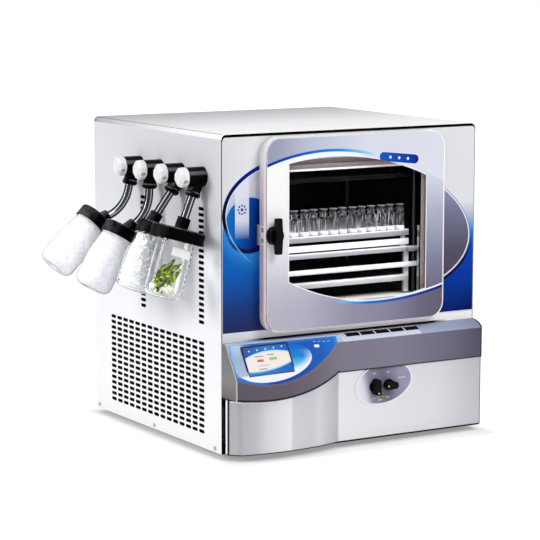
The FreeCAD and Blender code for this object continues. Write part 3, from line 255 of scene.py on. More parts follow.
class Finish:
    """A material in the making, with its Principled shader, its skin and its tone so far."""

    def __init__(self, name, **plain):
        self.material = bpy.data.materials.new(name)
        self.material.use_nodes = True
        self.tree = self.material.node_tree
        self.shader = self.tree.nodes["Principled BSDF"]
        for socket, value in plain.items():
            self.shader.inputs[socket.replace("_", " ")].default_value = value

    def place(self):
        """The point being shaded, as x, y and z on the drawing."""
        return parts_of(self.tree, from_corner(self.tree, CORNER / MM))

    def noise(self, scale, detail=2.0, roughness=0.5):
        return noise_field(self.tree, object_vector(self.tree), scale, detail, roughness)

    def use(self, socket, value):
        connect(value, self.shader.inputs[socket])

    def mix(self, mask, below, above, blend="MIX"):
        """The colour below, covered by the colour above where the mask is 1."""
        node = self.tree.nodes.new("ShaderNodeMix")
        node.data_type = "RGBA"
        node.blend_type = blend
        for socket, value in ((0, mask), (6, below), (7, above)):
            connect(value, node.inputs[socket])
        return Field(node.outputs[2])

    def shade(self, base, tone, strength):
        """A colour made lighter and darker by a tone that runs from 0 to 1."""
        return self.mix(strength, base, tone, "OVERLAY")

    def lay(self, mask, above):
        """Cover the finish's tone with a colour where the mask is 1."""
        self.tone = self.mix(mask, self.tone, above)

    def ramp(self, field, *stops):
        """A colour that runs through stops of (number, red, green, blue) as the field goes up."""
        low, high = stops[0][0], stops[-1][0]
        node = self.tree.nodes.new("ShaderNodeValToRGB")
        connect(field.between(low, high), node.inputs[0])
        marks = node.color_ramp.elements
        while len(marks) < len(stops):
            marks.new(0.5)
        for mark, stop in zip(marks, stops):
            mark.position = (stop[0] - low) / (high - low)
        for mark, stop in zip(marks, stops):
            mark.color = colour(*stop[1:])
        return Field(node.outputs[0])

    def group(self, tree, **values):
        """One of the shared effects placed in this finish, with its own values. Its outputs by name."""
        node = self.tree.nodes.new("ShaderNodeGroup")
        node.node_tree = tree
        for socket, value in values.items():
            connect(value, node.inputs[socket.replace("_", " ")])
        return {output.name: Field(output) for output in node.outputs}

    def cover(self, kind, **values):
        """Give the finish its skin, one of the shared effects. Gives the skin's tone."""
        self.skin = self.group(kind, **values)
        return self.skin["Tone"]

    def done(self, rough, *names, share=1.0, grain=0.0):
        """Link the tone and the skin to the shader, and put the finish on pieces. Rough is added to the
        skin's roughness, and grain is how strongly the skin still shades the tone."""
        if grain:
            self.tone = self.shade(self.tone, self.skin["Tone"], grain)
        self.use("Base Color", self.tone)
        self.use("Roughness", self.skin["Roughness"].math("MULTIPLY_ADD", share, rough))
        self.use("Normal", self.skin["Normal"])
        wear(self, *names)


def wear(finish, *names):
    """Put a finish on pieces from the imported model."""
    for name in names:
        nodes[name].data.materials.clear()
        nodes[name].data.materials.append(finish.material)


print("finishes can now be made and put on")

# %% [markdown]
# ## Effects that several finishes share
# Powder coat, brushed steel, rubbed edges and settled dust turn up on many pieces. Each is a node group with
# named inputs, built once. It puts out only values and normals, and the finish decides what to do with them.

# %% Powder coat skin


def shared_group(name, inputs, outputs):
    """An empty node group with those sockets. Gives the tree, its inputs as fields and its output node."""
    tree = bpy.data.node_groups.new(name, "ShaderNodeTree")
    for socket, kind, value in inputs:
        made = tree.interface.new_socket(name=socket, in_out="INPUT", socket_type=kind)
        made.default_value = value
    for socket, kind in outputs:
        tree.interface.new_socket(name=socket, in_out="OUTPUT", socket_type=kind)
    entry = tree.nodes.new("NodeGroupInput")
    exit_node = tree.nodes.new("NodeGroupOutput")
    return tree, {output.name: Field(output) for output in entry.outputs if output.name}, exit_node.inputs


FLOAT, VECTOR = "NodeSocketFloat", "NodeSocketVector"
SKIN_OUTPUTS = [("Tone", FLOAT), ("Roughness", FLOAT), ("Normal", VECTOR)]
powder_skin, given, put_out = shared_group(
    "powder_skin", [("Grain", FLOAT, 900.0), ("Depth", FLOAT, 0.1)], SKIN_OUTPUTS)
here = object_vector(powder_skin)
fine = noise_field(powder_skin, here, given["Grain"], detail=1.0)
broad = noise_field(powder_skin, here, 7.0, detail=3.0)
connect(broad * 0.8 + fine * 0.2, put_out["Tone"])
connect(fine * 0.16 + broad * 0.12 + 0.2, put_out["Roughness"])
connect(bumped(powder_skin, fine, given["Depth"], 0.0004), put_out["Normal"])
print("powder skin has", len(powder_skin.nodes), "nodes")

# %% [markdown]
# Stainless sheet is brushed in one direction, which leaves fine lines. Noise stretched far along the brushing
# makes them, and the same lines move the roughness a little, so that highlights break up along the grain.

# %% Brushed grain
brushed_grain, given, put_out = shared_group(
    "brushed_grain", [("Stretch", VECTOR, (40.0, 40.0, 1500.0)), ("Depth", FLOAT, 0.08)], SKIN_OUTPUTS)
lines = noise_field(brushed_grain, object_vector(brushed_grain, given["Stretch"]), 1.0, detail=3.0)
smears = noise_field(brushed_grain, object_vector(brushed_grain), 9.0, detail=2.0)
connect(lines * 0.6 + smears * 0.4, put_out["Tone"])
connect(lines * 0.14 + smears * 0.16 + 0.14, put_out["Roughness"])
connect(bumped(brushed_grain, lines, given["Depth"], 0.0002), put_out["Normal"])
print("brushed grain has", len(brushed_grain.nodes), "nodes")

# %% [markdown]
# Hands and cloths rub the edges of a moulding first. The Bevel node gives a normal that bends near an edge,
# so where it differs from the true normal there is an edge. Noise breaks the rub up.

# %% Rubbed edges
EDGE_WIDTH = 1.2 * MM
rubbed_edges, given, put_out = shared_group("rubbed_edges", [("Break Up", FLOAT, 160.0)], [("Rub", FLOAT)])
bevel = rubbed_edges.nodes.new("ShaderNodeBevel")
bevel.samples = 3
bevel.inputs["Radius"].default_value = EDGE_WIDTH
geometry = rubbed_edges.nodes.new("ShaderNodeNewGeometry")
bent = rubbed_edges.nodes.new("ShaderNodeVectorMath")
bent.operation = "DOT_PRODUCT"
rubbed_edges.links.new(bevel.outputs[0], bent.inputs[0])
rubbed_edges.links.new(geometry.outputs["Normal"], bent.inputs[1])
near_edge = (Field(bent.outputs["Value"]).from_(1.0) * 5.0).least(1.0)
patches = noise_field(rubbed_edges, object_vector(rubbed_edges), given["Break Up"], detail=3.0)
connect(near_edge * patches.between(0.35, 0.65), put_out["Rub"])
print("rubbed edges has", len(rubbed_edges.nodes), "nodes")

# %% [markdown]
# Dust settles on whatever faces up. The z part of the normal tells how level a surface is, and noise makes
# the dust patchy.

# %% Settled dust


def upward(tree):
    """How far a surface faces up: the z part of its normal."""
    return parts_of(tree, tree.nodes.new("ShaderNodeNewGeometry").outputs["Normal"])[2]


settled_dust, given, put_out = shared_group("settled_dust", [("Amount", FLOAT, 0.3)], [("Dust", FLOAT)])
drift = noise_field(settled_dust, object_vector(settled_dust), 60.0, detail=4.0)
level = upward(settled_dust).between(0.2, 0.95)
connect(level * drift.between(0.3, 0.8) * given["Amount"], put_out["Dust"])
print("settled dust has", len(settled_dust.nodes), "nodes")

# %% [markdown]
# Most pieces need no more than one colour with its skin, its rubbed edges and its dust, or one steel with
# its grain, or one pale finish that noise mottles and raises. Three functions make those.

# %% Three kinds of plain finish


def moulded(name, base, skin, tone=0.25, rub=None, dust=None, **plain):
    """A moulding, a paint or a rubber. Skin is (grain, depth), and rub and dust are each (the effect's own
    number, its share, its colour)."""
    made = Finish(name, **plain)
    made.tone = made.shade(base, made.cover(powder_skin, Grain=skin[0], Depth=skin[1]), tone)
    if rub:
        made.lay(made.group(rubbed_edges, Break_Up=rub[0])["Rub"] * rub[1], rub[2])
    if dust:
        made.lay(made.group(settled_dust, Amount=dust[0])["Dust"] * dust[1], dust[2])
    return made


def brushed(name, base, stretch, depth, strength, **plain):
    """A steel with its grain."""
    made = Finish(name, **plain)
    made.tone = made.shade(base, made.cover(brushed_grain, Stretch=stretch, Depth=depth), strength)
    return made


def mottled(name, scale, span, dark, pale, relief, detail=5.0, roughness=0.5, **plain):
    """A finish that noise makes darker and paler and also raises. Relief is (strength, distance)."""
    made = Finish(name, **plain)
    made.mottle = made.noise(scale, detail, roughness)
    made.use("Base Color", made.mix(made.mottle.between(*span), dark, pale))
    made.use("Normal", bumped(made.tree, made.mottle, *relief))
    return made


print("three kinds of plain finish are ready")

# %% [markdown]
# ## The cabinet
# The cabinet is folded steel with a white powder coat. Its inside is dark primer, painted dark enough to also
# stand in for the shade inside the cabinet, which is why the cooling slots look black. So each panel's finish
# takes a depth below its outer face, in millimetres, and turns dark from there on.

# %% White powder coat
# The first colour is dark primer that also paints the shade inside the cabinet and inside the vents.
PAINTED_SHADE, SHEET = (9, 9, 10), 0.9
SLOT_FIRST, SLOT_PITCH = (89.0, 36.6), (30.8, 13.42)
SLOT_REACH, SLOT_RADIUS, BANK_Y, BANK_Z = 8.3, 3.95, (73.0, 536.0), (31.0, 245.0)
TALL_MIDDLES, TALL_HALF, TALL_FIRST, TALL_Z = (89.0, 366.2), 15.0, 285.5, (279.0, 547.0)
FOLD_X, FOLD_Y = 6.0, (6.0, 610.0)
cover_high = drawn(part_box("cabinet_cover"))[1]


def powder_coat(name, wearer, along, depth, *stops):
    """White powder coat outside and dark primer inside, which also paints the shade inside. Its white runs
    through stops as the place along it goes up. Along and depth are functions of x, y and z."""
    coat = Finish(name, Specular_IOR_Level=0.2)
    x, y, z = coat.place()
    grain = coat.cover(powder_skin, Grain=1300.0, Depth=0.06)
    coat.tone = coat.shade(coat.ramp(along(x, y, z), *stops), grain, 0.05)
    coat.lay(coat.group(settled_dust, Amount=0.05)["Dust"], (206, 203, 196))
    coat.lay(depth(x, y, z).above(0, 0.12), PAINTED_SHADE)
    coat.done(0.14, wearer)


def from_nearest(value, first, pitch):
    """How far a number is past the nearest one of a row that starts at first."""
    return (((value - first) / pitch + 0.5).math("FRACT") - 0.5) * pitch


def slot_shade_rims(x, y, z):
    """Above zero close to a cooling slot's edge, where painted shade widens the dark of the slot."""
    out = (from_nearest(y, SLOT_FIRST[0], SLOT_PITCH[0]).size() - SLOT_REACH).most(0.0)

    def near_row(first):
        return long_side(out, from_nearest(z, first, SLOT_PITCH[1])).from_(SLOT_RADIUS)

    bank = near_row(SLOT_FIRST[1]).least(z.within(*BANK_Z)).least(y.within(*BANK_Y))
    tall = (y - TALL_MIDDLES[0]).size().least((y - TALL_MIDDLES[1]).size()).from_(TALL_HALF)
    return bank.most(tall.least(near_row(TALL_FIRST)).least(z.within(*TALL_Z)))


def below_cover(x, y, z):
    """How deep a point lies below the cover's outer faces. The folds at its open ends stay white."""
    skin_depth = x.from_(cover_high.x - SHEET).least(z.from_(cover_high.z - SHEET))
    return skin_depth.least(x - FOLD_X).least(y.within(*FOLD_Y))


# Painted shade: the side panel's white darkens towards the top, and the cover's towards the back.
powder_coat("slotted_coat", "left_side_panel", lambda x, y, z: z,
            lambda x, y, z: (x - 0.12).most(slot_shade_rims(x, y, z)),
            (60, 252, 252, 254), (260, 244, 245, 249), (470, 226, 227, 232), (690, 216, 217, 222))
powder_coat("rear_coat", "rear_panel", lambda x, y, z: z, lambda x, y, z: y.from_(cover_high.y - SHEET),
            (0, 238, 239, 242), (700, 242, 243, 245))
powder_coat("cover_coat", "cabinet_cover", lambda x, y, z: y - x * 0.1, below_cover,
            (0, 255, 255, 255), (160, 248, 249, 250), (400, 214, 215, 219), (580, 178, 179, 184),
            (602, 168, 169, 174), (612, 124, 125, 130))
print("the cabinet is", round(cover_high.z), "mm high and white outside")

# %% [markdown]
# The base pan and the plate that presses the stoppers in have a thicker black paint, a little glossy.

# %% Black paint
black_paint = moulded("black_paint", (5, 5, 6), (500.0, 0.12), 0.2, rub=(120.0, 0.3, (70, 71, 74)),
                      dust=(0.35, 0.4, (120, 116, 108)), Specular_IOR_Level=0.08)
black_paint.done(0.1, "base_pan", "press_plate")
print("base pan and press plate wear", black_paint.material.name)

# %% [markdown]
# ## The printed front
# The fascia is white enamel with a printed band: a wide tilted oval, blue below it and silver-lavender inside
# it, and a blue disc at the left. A distance to the oval's edge gives the outline, the fields and their
# fades. Each helper returns such a distance in millimetres, below zero inside its shape.

# %% Distances to ovals, circles and rounded boxes


def oval_distance(x, z, centre, reach, tilt):
    """How far a point lies outside an oval with that centre, those half axes and that tilt in radians."""
    cos, sin = math.cos(tilt), math.sin(tilt)
    across, up = x - centre[0], z - centre[1]
    u, v = across * cos + up * sin, up * cos - across * sin
    ratio = long_side(u / reach[0], v / reach[1])
    return (ratio - 1.0) * ratio / long_side(u / reach[0] ** 2, v / reach[1] ** 2)


def circle_distance(x, z, centre, radius):
    return long_side(x - centre[0], z - centre[1]) - radius


def box_distance(x, z, low, high, corner):
    """How far a point lies outside a box with rounded corners."""
    across = (x - (low[0] + high[0]) / 2).size() - ((high[0] - low[0]) / 2 - corner)
    up = (z - (low[1] + high[1]) / 2).size() - ((high[1] - low[1]) / 2 - corner)
    return long_side(across.most(0.0), up.most(0.0)) + across.most(up).least(0.0) - corner


def circle_through(a, b, c):
    """The centre and the radius of the circle through three points."""
    (ax, az), (bx, bz), (cx, cz) = a, b, c
    d = 2 * (ax * (bz - cz) + bx * (cz - az) + cx * (az - bz))
    aa, bb, cc = ax * ax + az * az, bx * bx + bz * bz, cx * cx + cz * cz
    x = (aa * (bz - cz) + bb * (cz - az) + cc * (az - bz)) / d
    z = (aa * (cx - bx) + bb * (ax - cx) + cc * (bx - ax)) / d
    return (x, z), math.dist((x, z), a)


def bar_distance(x, z, start, end, radius):
    """How far a point lies outside a bar with round ends, from one middle to the other."""
    length = math.dist(start, end)
    cos, sin = (end[0] - start[0]) / length, (end[1] - start[1]) / length
    along = (x - start[0]) * cos + (z - start[1]) * sin
    aside = (z - start[1]) * cos - (x - start[0]) * sin
    return long_side(along - along.most(0.0).least(length), aside) - radius


OVAL = dict(centre=(340.0, 490.4), reach=(335.2, 165.6), tilt=-0.1616)
print("the printed oval is", 2 * OVAL["reach"][0], "mm wide")

# %% [markdown]
# The fields are laid over each other like screen prints: silver ground first, then the blue field, the
# band's inside, the disc with its pale stripe, and the outlines last. The disc's motif is a plain ring of
# dots, as a generic sign for the cold chamber.

# %% The fascia print
FIELD_FOOT, FIELD_LEFT, FIELD_RIGHT = 271.5, 3.5, 681.0
fascia = Finish("fascia_print", Specular_IOR_Level=0.06)
fascia.cover(powder_skin, Grain=1500.0, Depth=0.03)
x, y, z = fascia.place()
edge = oval_distance(x, z, **OVAL)
ground = fascia.ramp(x, (0, 222, 223, 227), (60, 229, 230, 234), (95, 237, 238, 242), (560, 229, 230, 234),
                     (684, 229, 230, 234))
left_blue = fascia.ramp(z, (268, 34, 42, 90), (290, 34, 48, 102), (330, 26, 60, 130), (396, 12, 90, 178),
                        (450, 6, 104, 192), (500, 4, 110, 197))
right_blue = fascia.ramp(z, (268, 2, 20, 96), (290, 2, 38, 120), (320, 0, 48, 142), (360, 0, 56, 162),
                         (420, 4, 68, 180), (455, 44, 114, 208), (478, 126, 166, 216), (495, 176, 192, 216),
                         (530, 229, 230, 234))
blue = fascia.mix(x.between(250, 450), left_blue, right_blue)
blue = fascia.mix(x.between(630, 681) * z.between(330, 270) * 0.7, blue, (0, 8, 76))
low_left = x.below(200, 20) * edge.between(34, 0) * z.above(430, 60)
blue = fascia.mix(low_left * 0.55, blue, (70, 158, 230))
in_field = z.below(505, 1.0).most(x.above(400, 1.0)) * z.above(FIELD_FOOT)
fascia.tone = fascia.mix(in_field * x.above(FIELD_LEFT) * x.below(FIELD_RIGHT), ground, blue)
left_band = fascia.ramp(z, (420, 178, 184, 214), (520, 196, 198, 216), (620, 212, 213, 226))
right_band = fascia.ramp(z, (350, 78, 72, 92), (420, 88, 84, 104), (508, 118, 121, 152),
                         (560, 144, 149, 184))
band = fascia.mix(x.between(250, 450), left_band, right_band)
fascia.lay(edge.below(0, 0.8) * z.above(488, 26).most(x.above(250, 60)), band)
print("the ground, the blue field and the band are printed")

# %% The disc with its stripe and ring of dots
DISC, DISC_RADIUS, STRIPE_X, STRIPE_HALF = (72.0, 508.0), 62.0, 53.0, 17.8
RING, RING_RADIUS, HUB_RADIUS, DOT_RADIUS, DOTS = (STRIPE_X, 544.0), 9.5, 3.6, 2.4, 8
disc = circle_distance(x, z, DISC, DISC_RADIUS)
disc_blue = fascia.ramp(x - (z - 500.0) * 0.2, (0, 10, 112, 198), (30, 6, 102, 188), (62, 2, 70, 158),
                        (90, 0, 34, 116), (125, 0, 18, 84))
fascia.lay((disc - 1.5).size().between(5.5, 1.5) * z.between(490, 515) * 0.6, (150, 196, 240))
fascia.lay(disc.below(0), disc_blue)
shadow_rim = (disc + 4.5).size().between(7, 3) * (z.from_(500.0) + x * 0.3).between(20, 50)
fascia.lay(shadow_rim * 0.9, (4, 12, 74))
stripe = x.line(STRIPE_X, STRIPE_HALF, 0.6) * z.below(619) * z.between(478, 520)
fascia.lay(stripe * 0.92, (226, 230, 243))
dots = circle_distance(x, z, RING, HUB_RADIUS)
for number in range(DOTS):
    turn = 2 * math.pi * number / DOTS
    middle = (RING[0] + RING_RADIUS * math.cos(turn), RING[1] + RING_RADIUS * math.sin(turn))
    dots = dots.least(circle_distance(x, z, middle, DOT_RADIUS))
fascia.lay(dots.below(0, 0.8), (30, 74, 160))
print("the disc holds", DOTS, "dots round a ninth")

# %% The outlines and the enamel itself
DOOR_FOOT, CONSOLE_SHADE, TOP_GAP_SHADOW, RIGHT_EDGE_SHADE = 268.0, 253.8, 704.2, 680.6
dark_line = edge.line(1.2, 4.4) * z.between(484, 506) * x.below(330, 40)
dark_line = dark_line.most(edge.line(3.0, 2.4) * z.between(452, 392) * x.above(400, 40))
to_the_right = x.above(330, 30)
white_line = edge.line(-3.4, 1.7) * x.between(80, 25).most(z.above(470, 30)).most(to_the_right)
line_white = fascia.mix(z.between(500, 530).most(to_the_right), (132, 196, 246), (240, 243, 250))
fascia.lay(white_line * 0.9, line_white)
line_blue = fascia.ramp(z, (470, 0, 0, 8), (550, 0, 2, 44), (600, 0, 12, 104), (640, 4, 30, 150))
fascia.lay(dark_line, line_blue)
# Painted light: the white strip below the door is brightened where the door shades it.
fascia.lay(z.below(DOOR_FOOT, 2.0) * x.above(110, 40), (255, 255, 252))
# Painted shadow: a dark line along the fascia's foot, under the door.
fascia.lay(z.below(CONSOLE_SHADE, 0.8) * x.between(50, 110) * x.between(610, 570), (26, 20, 20))
# Painted shadow in the gap under the cover's top edge, and painted shade along the right edge.
fascia.lay(z.above(TOP_GAP_SHADOW), (8, 8, 9))
fascia.lay(x.above(RIGHT_EDGE_SHADE), (140, 142, 147))
fascia.done(0.05, "front_fascia", grain=0.03)
print("the fascia print has", len(fascia.tree.nodes), "nodes")

# %% [markdown]
# ## The door
# The door is a thick clear acrylic plate with a silver-lavender print on its front, which leaves the window
# free. The print repeats the fascia's oval and adds a blue line over the window and one under it. A plain
# blue bar with three dots sits at the top, where such a door has its badge.

# %% Places on the door
door_low, door_high = drawn(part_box("door_panel"))
film_low, film_high = drawn(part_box("door_print"))
DOOR_CORNER, FILM_CORNER = 38.0, 35.5
WINDOW_SIDES = (60.0, 52.0)
WINDOW_TOP, WINDOW_TOP_RADIUS = (176.0, 386.0), 618.0
WINDOW_LOW, WINDOW_LOW_RADIUS = (298.0, 56.0), 530.0


def window_distance(x, z):
    """How far a point lies outside the window's edge, which is two straight sides and two arcs."""
    left = x.from_(door_low.x + WINDOW_SIDES[0])
    right = x - (door_high.x - WINDOW_SIDES[1])
    top_middle = (door_low.x + WINDOW_TOP[0], door_low.z + WINDOW_TOP[1] - WINDOW_TOP_RADIUS)
    low_middle = (door_low.x + WINDOW_LOW[0], door_low.z + WINDOW_LOW[1] + WINDOW_LOW_RADIUS)
    top = circle_distance(x, z, top_middle, WINDOW_TOP_RADIUS)
    return left.most(right).most(top).most(circle_distance(x, z, low_middle, WINDOW_LOW_RADIUS))


print("the door is", round(door_high.x - door_low.x), "mm wide")

# %% The door print
film = Finish("door_film", Specular_IOR_Level=0.08)
film.cover(powder_skin, Grain=1500.0, Depth=0.02)
x, y, z = film.place()
top_line = circle_distance(x, z, (259.0, 176.0), 492.0)
low_line = circle_distance(x, z, (387.0, 1027.0), 709.0)
above = film.ramp(x, (95, 154, 160, 185), (125, 160, 165, 190), (200, 190, 194, 212), (280, 206, 209, 226),
                  (354, 219, 222, 238), (572, 224, 225, 237))
left_side = film.ramp(z, (290, 187, 184, 198), (380, 207, 204, 217), (460, 242, 242, 249),
                      (540, 254, 254, 255))
right_side = film.ramp(z, (311, 110, 100, 124), (406, 131, 132, 159), (518, 178, 183, 204),
                       (613, 222, 224, 239))
foot = film.ramp(x, (95, 190, 187, 200), (200, 182, 179, 200), (322, 152, 148, 168), (419, 141, 135, 161),
                 (505, 112, 107, 129), (572, 100, 95, 118))
film.tone = film.mix(x.between(330, 360), left_side, right_side)
film.lay(oval_distance(x, z, **OVAL).above(0, 0.8) * x.above(330, 10) * z.above(500, 10), (226, 228, 241))
film.lay(top_line.above(0, 0.8) * x.between(400, 330), above)
film.lay(x.between(330, 410) * z.between(600, 660), above)
low_left = (z.from_(400.0) + x * 0.2).between(40, 130) * x.below(300, 20)
film.lay((low_line.above(0, 0.8) * x.above(285, 2)).most(low_left) * z.below(470, 20), foot)
print("the door's fields are printed")

# %% The door's lines and its plain bar
film.lay(top_line.line(0.5, 3.2) * x.below(390, 20), film.ramp(
    x, (103, 6, 46, 150), (190, 8, 92, 200), (290, 32, 150, 228), (350, 130, 204, 244), (390, 214, 232, 248)))
film.lay(top_line.line(-5.0, 2.2) * x.between(385, 250), (250, 251, 254))
film.lay(low_line.line(0.5, 3.0) * x.between(270, 300), film.ramp(
    x, (285, 120, 190, 238), (360, 24, 122, 214), (480, 10, 66, 172), (572, 8, 26, 104)))
film.lay(low_line.line(-4.6, 2.0) * x.between(285, 330), (246, 247, 252))
rim = box_distance(x, z, (film_low.x, film_low.z), (film_high.x, film_high.z), FILM_CORNER)
film.lay(rim.above(-1.0), (238, 236, 242))
film.lay(window_distance(x, z).below(2.4, 0.8), (247, 248, 252))
BAR_START, BAR_END, BAR_SLOPE = (402.0, 648.0), (488.0, 638.6), 0.11
bar = bar_distance(x, z, BAR_START, BAR_END, 10.5)
film.lay(bar.below(1.6, 0.8), (240, 242, 250))
film.lay(bar.below(0, 0.8), film.ramp(x, (400, 20, 88, 196), (495, 8, 44, 150)))
for dot_x in (421.0, 445.0, 469.0):
    dot = circle_distance(x, z, (dot_x, BAR_START[1] - (dot_x - BAR_START[0]) * BAR_SLOPE), 3.4)
    film.lay(dot.below(0, 0.8), (226, 234, 248))
film.done(0.0, "door_print")
print("the door print has", len(film.tree.nodes), "nodes")

# %% [markdown]
# Glass and acrylic bend light, and a path tracer then loses the lamps behind them, so the vials would sit in
# the dark. The usual way round is to let the lamps' shadow rays pass straight through, while the camera
# still sees a real refracting surface. The door's sawn edges glow faintly with painted light, emission that
# stands in for the light a thick acrylic plate gathers and gives out at them.

# %% Clear acrylic and glass
BLACK = (0, 0, 0)


def rays(tree, *kinds):
    """1 for rays of those kinds and 0 for the others."""
    path = tree.nodes.new("ShaderNodeLightPath")
    total, *others = [Field(path.outputs[kind]) for kind in kinds]
    for other in others:
        total = total + other
    return total.least(1.0) if others else total


def blend_in(finish, share, other):
    """Let another shader take the finish's place where the share is 1."""
    blend = finish.tree.nodes.new("ShaderNodeMixShader")
    connect(share, blend.inputs[0])
    for slot, shader in ((1, finish.shader), (2, other)):
        finish.tree.links.new(shader.outputs[0], blend.inputs[slot])
    finish.tree.links.new(blend.outputs[0], finish.tree.nodes["Material Output"].inputs["Surface"])


def let_lamps_through(finish, tint):
    """Mix in a transparent shader for shadow rays only."""
    clear = finish.tree.nodes.new("ShaderNodeBsdfTransparent")
    clear.inputs[0].default_value = tint
    blend_in(finish, rays(finish.tree, "Is Shadow Ray"), clear)


def glass_finish(name, tint, smear, smear_from, **plain):
    """Clear glass with faint smears that catch the light."""
    finish = Finish(name, Transmission_Weight=1.0, **plain)
    marks = finish.noise(38.0, detail=4.0)
    finish.use("Roughness", marks.between(smear_from, 0.9) * smear)
    finish.use("Base Color", finish.shade(tint, marks, 0.03))
    let_lamps_through(finish, tint)
    return finish


acrylic = glass_finish("door_acrylic", (0.97, 0.97, 0.98, 1.0), 0.05, 0.5, IOR=1.05,
                       Emission_Strength=0.36)
x, y, z = acrylic.place()
rim = box_distance(x, z, (door_low.x, door_low.z), (door_high.x, door_high.z), DOOR_CORNER)
# Painted glow on the sawn edge, given out as emission and paler towards the top.
edge_light = acrylic.ramp(z, (268, 176, 164, 176), (380, 204, 188, 196), (500, 226, 210, 214),
                          (640, 240, 236, 240))
acrylic.use("Emission Color", acrylic.mix(rim.above(-2.7, 0.5), BLACK, edge_light))
wear(acrylic, "door_panel")
flask_glass = glass_finish("flask_glass", (0.955, 0.96, 0.965, 1.0), 0.012, 0.5, IOR=1.36)
wear(flask_glass, "flask_1", "flask_2")
vial_glass = glass_finish("vial_glass", (0.965, 0.975, 0.98, 1.0), 0.03, 0.45, IOR=1.24,
                          Emission_Strength=0.7)
# Painted glints: noise drawn out upwards, given out as emission.
upright = object_vector(vial_glass.tree, (420.0, 420.0, 26.0))
glints = noise_field(vial_glass.tree, upright, 1.0, detail=3.0)
vial_glass.use("Emission Color", vial_glass.mix(glints.between(0.61, 0.67), BLACK, (196, 200, 206)))
wear(vial_glass, "vials")
print("three clear finishes are on")

# %% [markdown]
# The two back flasks are clouded by frost on the outside. It is white where the glass faces the eye, with a
# faint painted glow, and painted shade turns it grey where the glass turns away.

# %% Frosted glass


def turned_away(finish):
    """How far a surface turns away from the eye, from 0 to 1."""
    return Field(finish.tree.nodes.new("ShaderNodeLayerWeight").outputs["Facing"])


frosted = Finish("frosted_glass", Transmission_Weight=0.5, IOR=1.4, Emission_Strength=0.36)
rime = frosted.noise(130.0, detail=5.0, roughness=0.65)
thick, away = rime.between(0.35, 0.65), turned_away(frosted).between(0.5, 0.92)
# The emission is a painted glow, and the colour where the glass turns away is painted shade.
for socket, thin_colour, thick_colour, away_shade_colour in (
        ("Base Color", (226, 226, 231), (252, 252, 253), (168, 171, 180)),
        ("Emission Color", (104, 104, 108), (146, 146, 148), BLACK)):
    frosted.use(socket, frosted.mix(away, frosted.mix(thick, thin_colour, thick_colour), away_shade_colour))
frosted.use("Roughness", rime * 0.5 + 0.2)
frosted.use("Normal", bumped(frosted.tree, rime, 0.15, 0.0004))
let_lamps_through(frosted, (0.9, 0.92, 0.94, 1.0))
wear(frosted, "flask_3", "flask_4")
print("flask_3 and flask_4 are frosted")

# %% [markdown]
# ## The console
# The console is one lavender-grey moulding. Its top is painted lighter than its front, and its ends and lower
# edges carry painted light and shade. Five vents sink into its top, and their walls are painted dark, painted
# shade. The top starts level and curves down, so a vent's wall is whatever lies inside that curve.

# %% The moulded housing
CONSOLE_TOP = drawn(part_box("console_housing"))[1].z
CONSOLE_DEPTH, CONSOLE_DROP = 39.0, 16.0
CURVE = (CONSOLE_DEPTH ** 2 + CONSOLE_DROP ** 2) / (2 * CONSOLE_DROP)
moulding = Finish("console_moulding", Specular_IOR_Level=0.3)
grain = moulding.cover(powder_skin, Grain=700.0, Depth=0.1)
x, y, z = moulding.place()
painted_lit_top = z.above(CONSOLE_TOP - CONSOLE_DROP, 0.8)
# Painted light and shade: the top is painted lighter than the front, and the front darker towards its ends.
moulding.tone = moulding.mix(
    painted_lit_top,
    moulding.ramp(x, (0, 90, 83, 95), (100, 93, 86, 98), (200, 106, 98, 112), (286, 124, 120, 136),
                  (440, 130, 126, 146), (600, 104, 102, 122), (650, 86, 86, 105), (684, 72, 72, 90)),
    moulding.ramp(x, (284, 178, 190, 216), (480, 174, 184, 212), (600, 160, 170, 198), (684, 134, 140, 166)))
vent_strip = box_distance(x, y, (294.0, -39.0), (510.0, -7.5), 4.0)
moulding.lay(vent_strip.below(0, 3.0) * painted_lit_top, (216, 221, 242))
low_edge = circle_distance(x, z, *circle_through((0.0, 131.0), (100.0, 125.5), (283.0, 163.5)))
# Painted shadow: a dark line along the curved lower edge and a dark band along the straight one.
moulding.lay(low_edge.line(-1.4, 3.3, 1.0) * x.below(285, 4.0), (18, 17, 20))
moulding.lay(z.below(166.4, 1.0) * x.above(285, 4.0), (44, 42, 54))
# Painted highlight along the left edge, and painted shade on the left end face.
moulding.lay(x.below(3.4), (198, 194, 192))
moulding.lay(x.below(0.8, 0.3), moulding.ramp(
    z, (131, 100, 98, 96), (170, 130, 128, 126), (210, 120, 118, 120), (250, 112, 110, 114)))
# Painted shadow of the door on the back of the console's top.
moulding.lay(y.above(-6.0, 1.2) * x.between(60, 130) * x.between(620, 560), (30, 24, 22))
# Painted shade at the right end.
moulding.lay(x.above(679.0, 0.8), (5, 5, 8))
under_curve = circle_distance(y, z, (0.0, CONSOLE_TOP - CURVE), CURVE)
in_vents = under_curve.below(-0.8, 0.2) * y.line(-19.5, 8.3, 0.2)
# Painted shade inside the vents.
moulding.lay(in_vents * z.above(200) * x.above(300), PAINTED_SHADE)
moulding.tone = moulding.shade(moulding.tone, grain, 0.06)
moulding.lay(moulding.group(rubbed_edges)["Rub"] * 0.25, (190, 190, 204))
moulding.done(0.2, "console_housing")
print("the console wears", moulding.material.name)

# %% [markdown]
# A printed film covers the console's tilted face, round the touch screen. Places on that face are easiest in
# its own two directions, across and down, so the face's corner and directions come first.

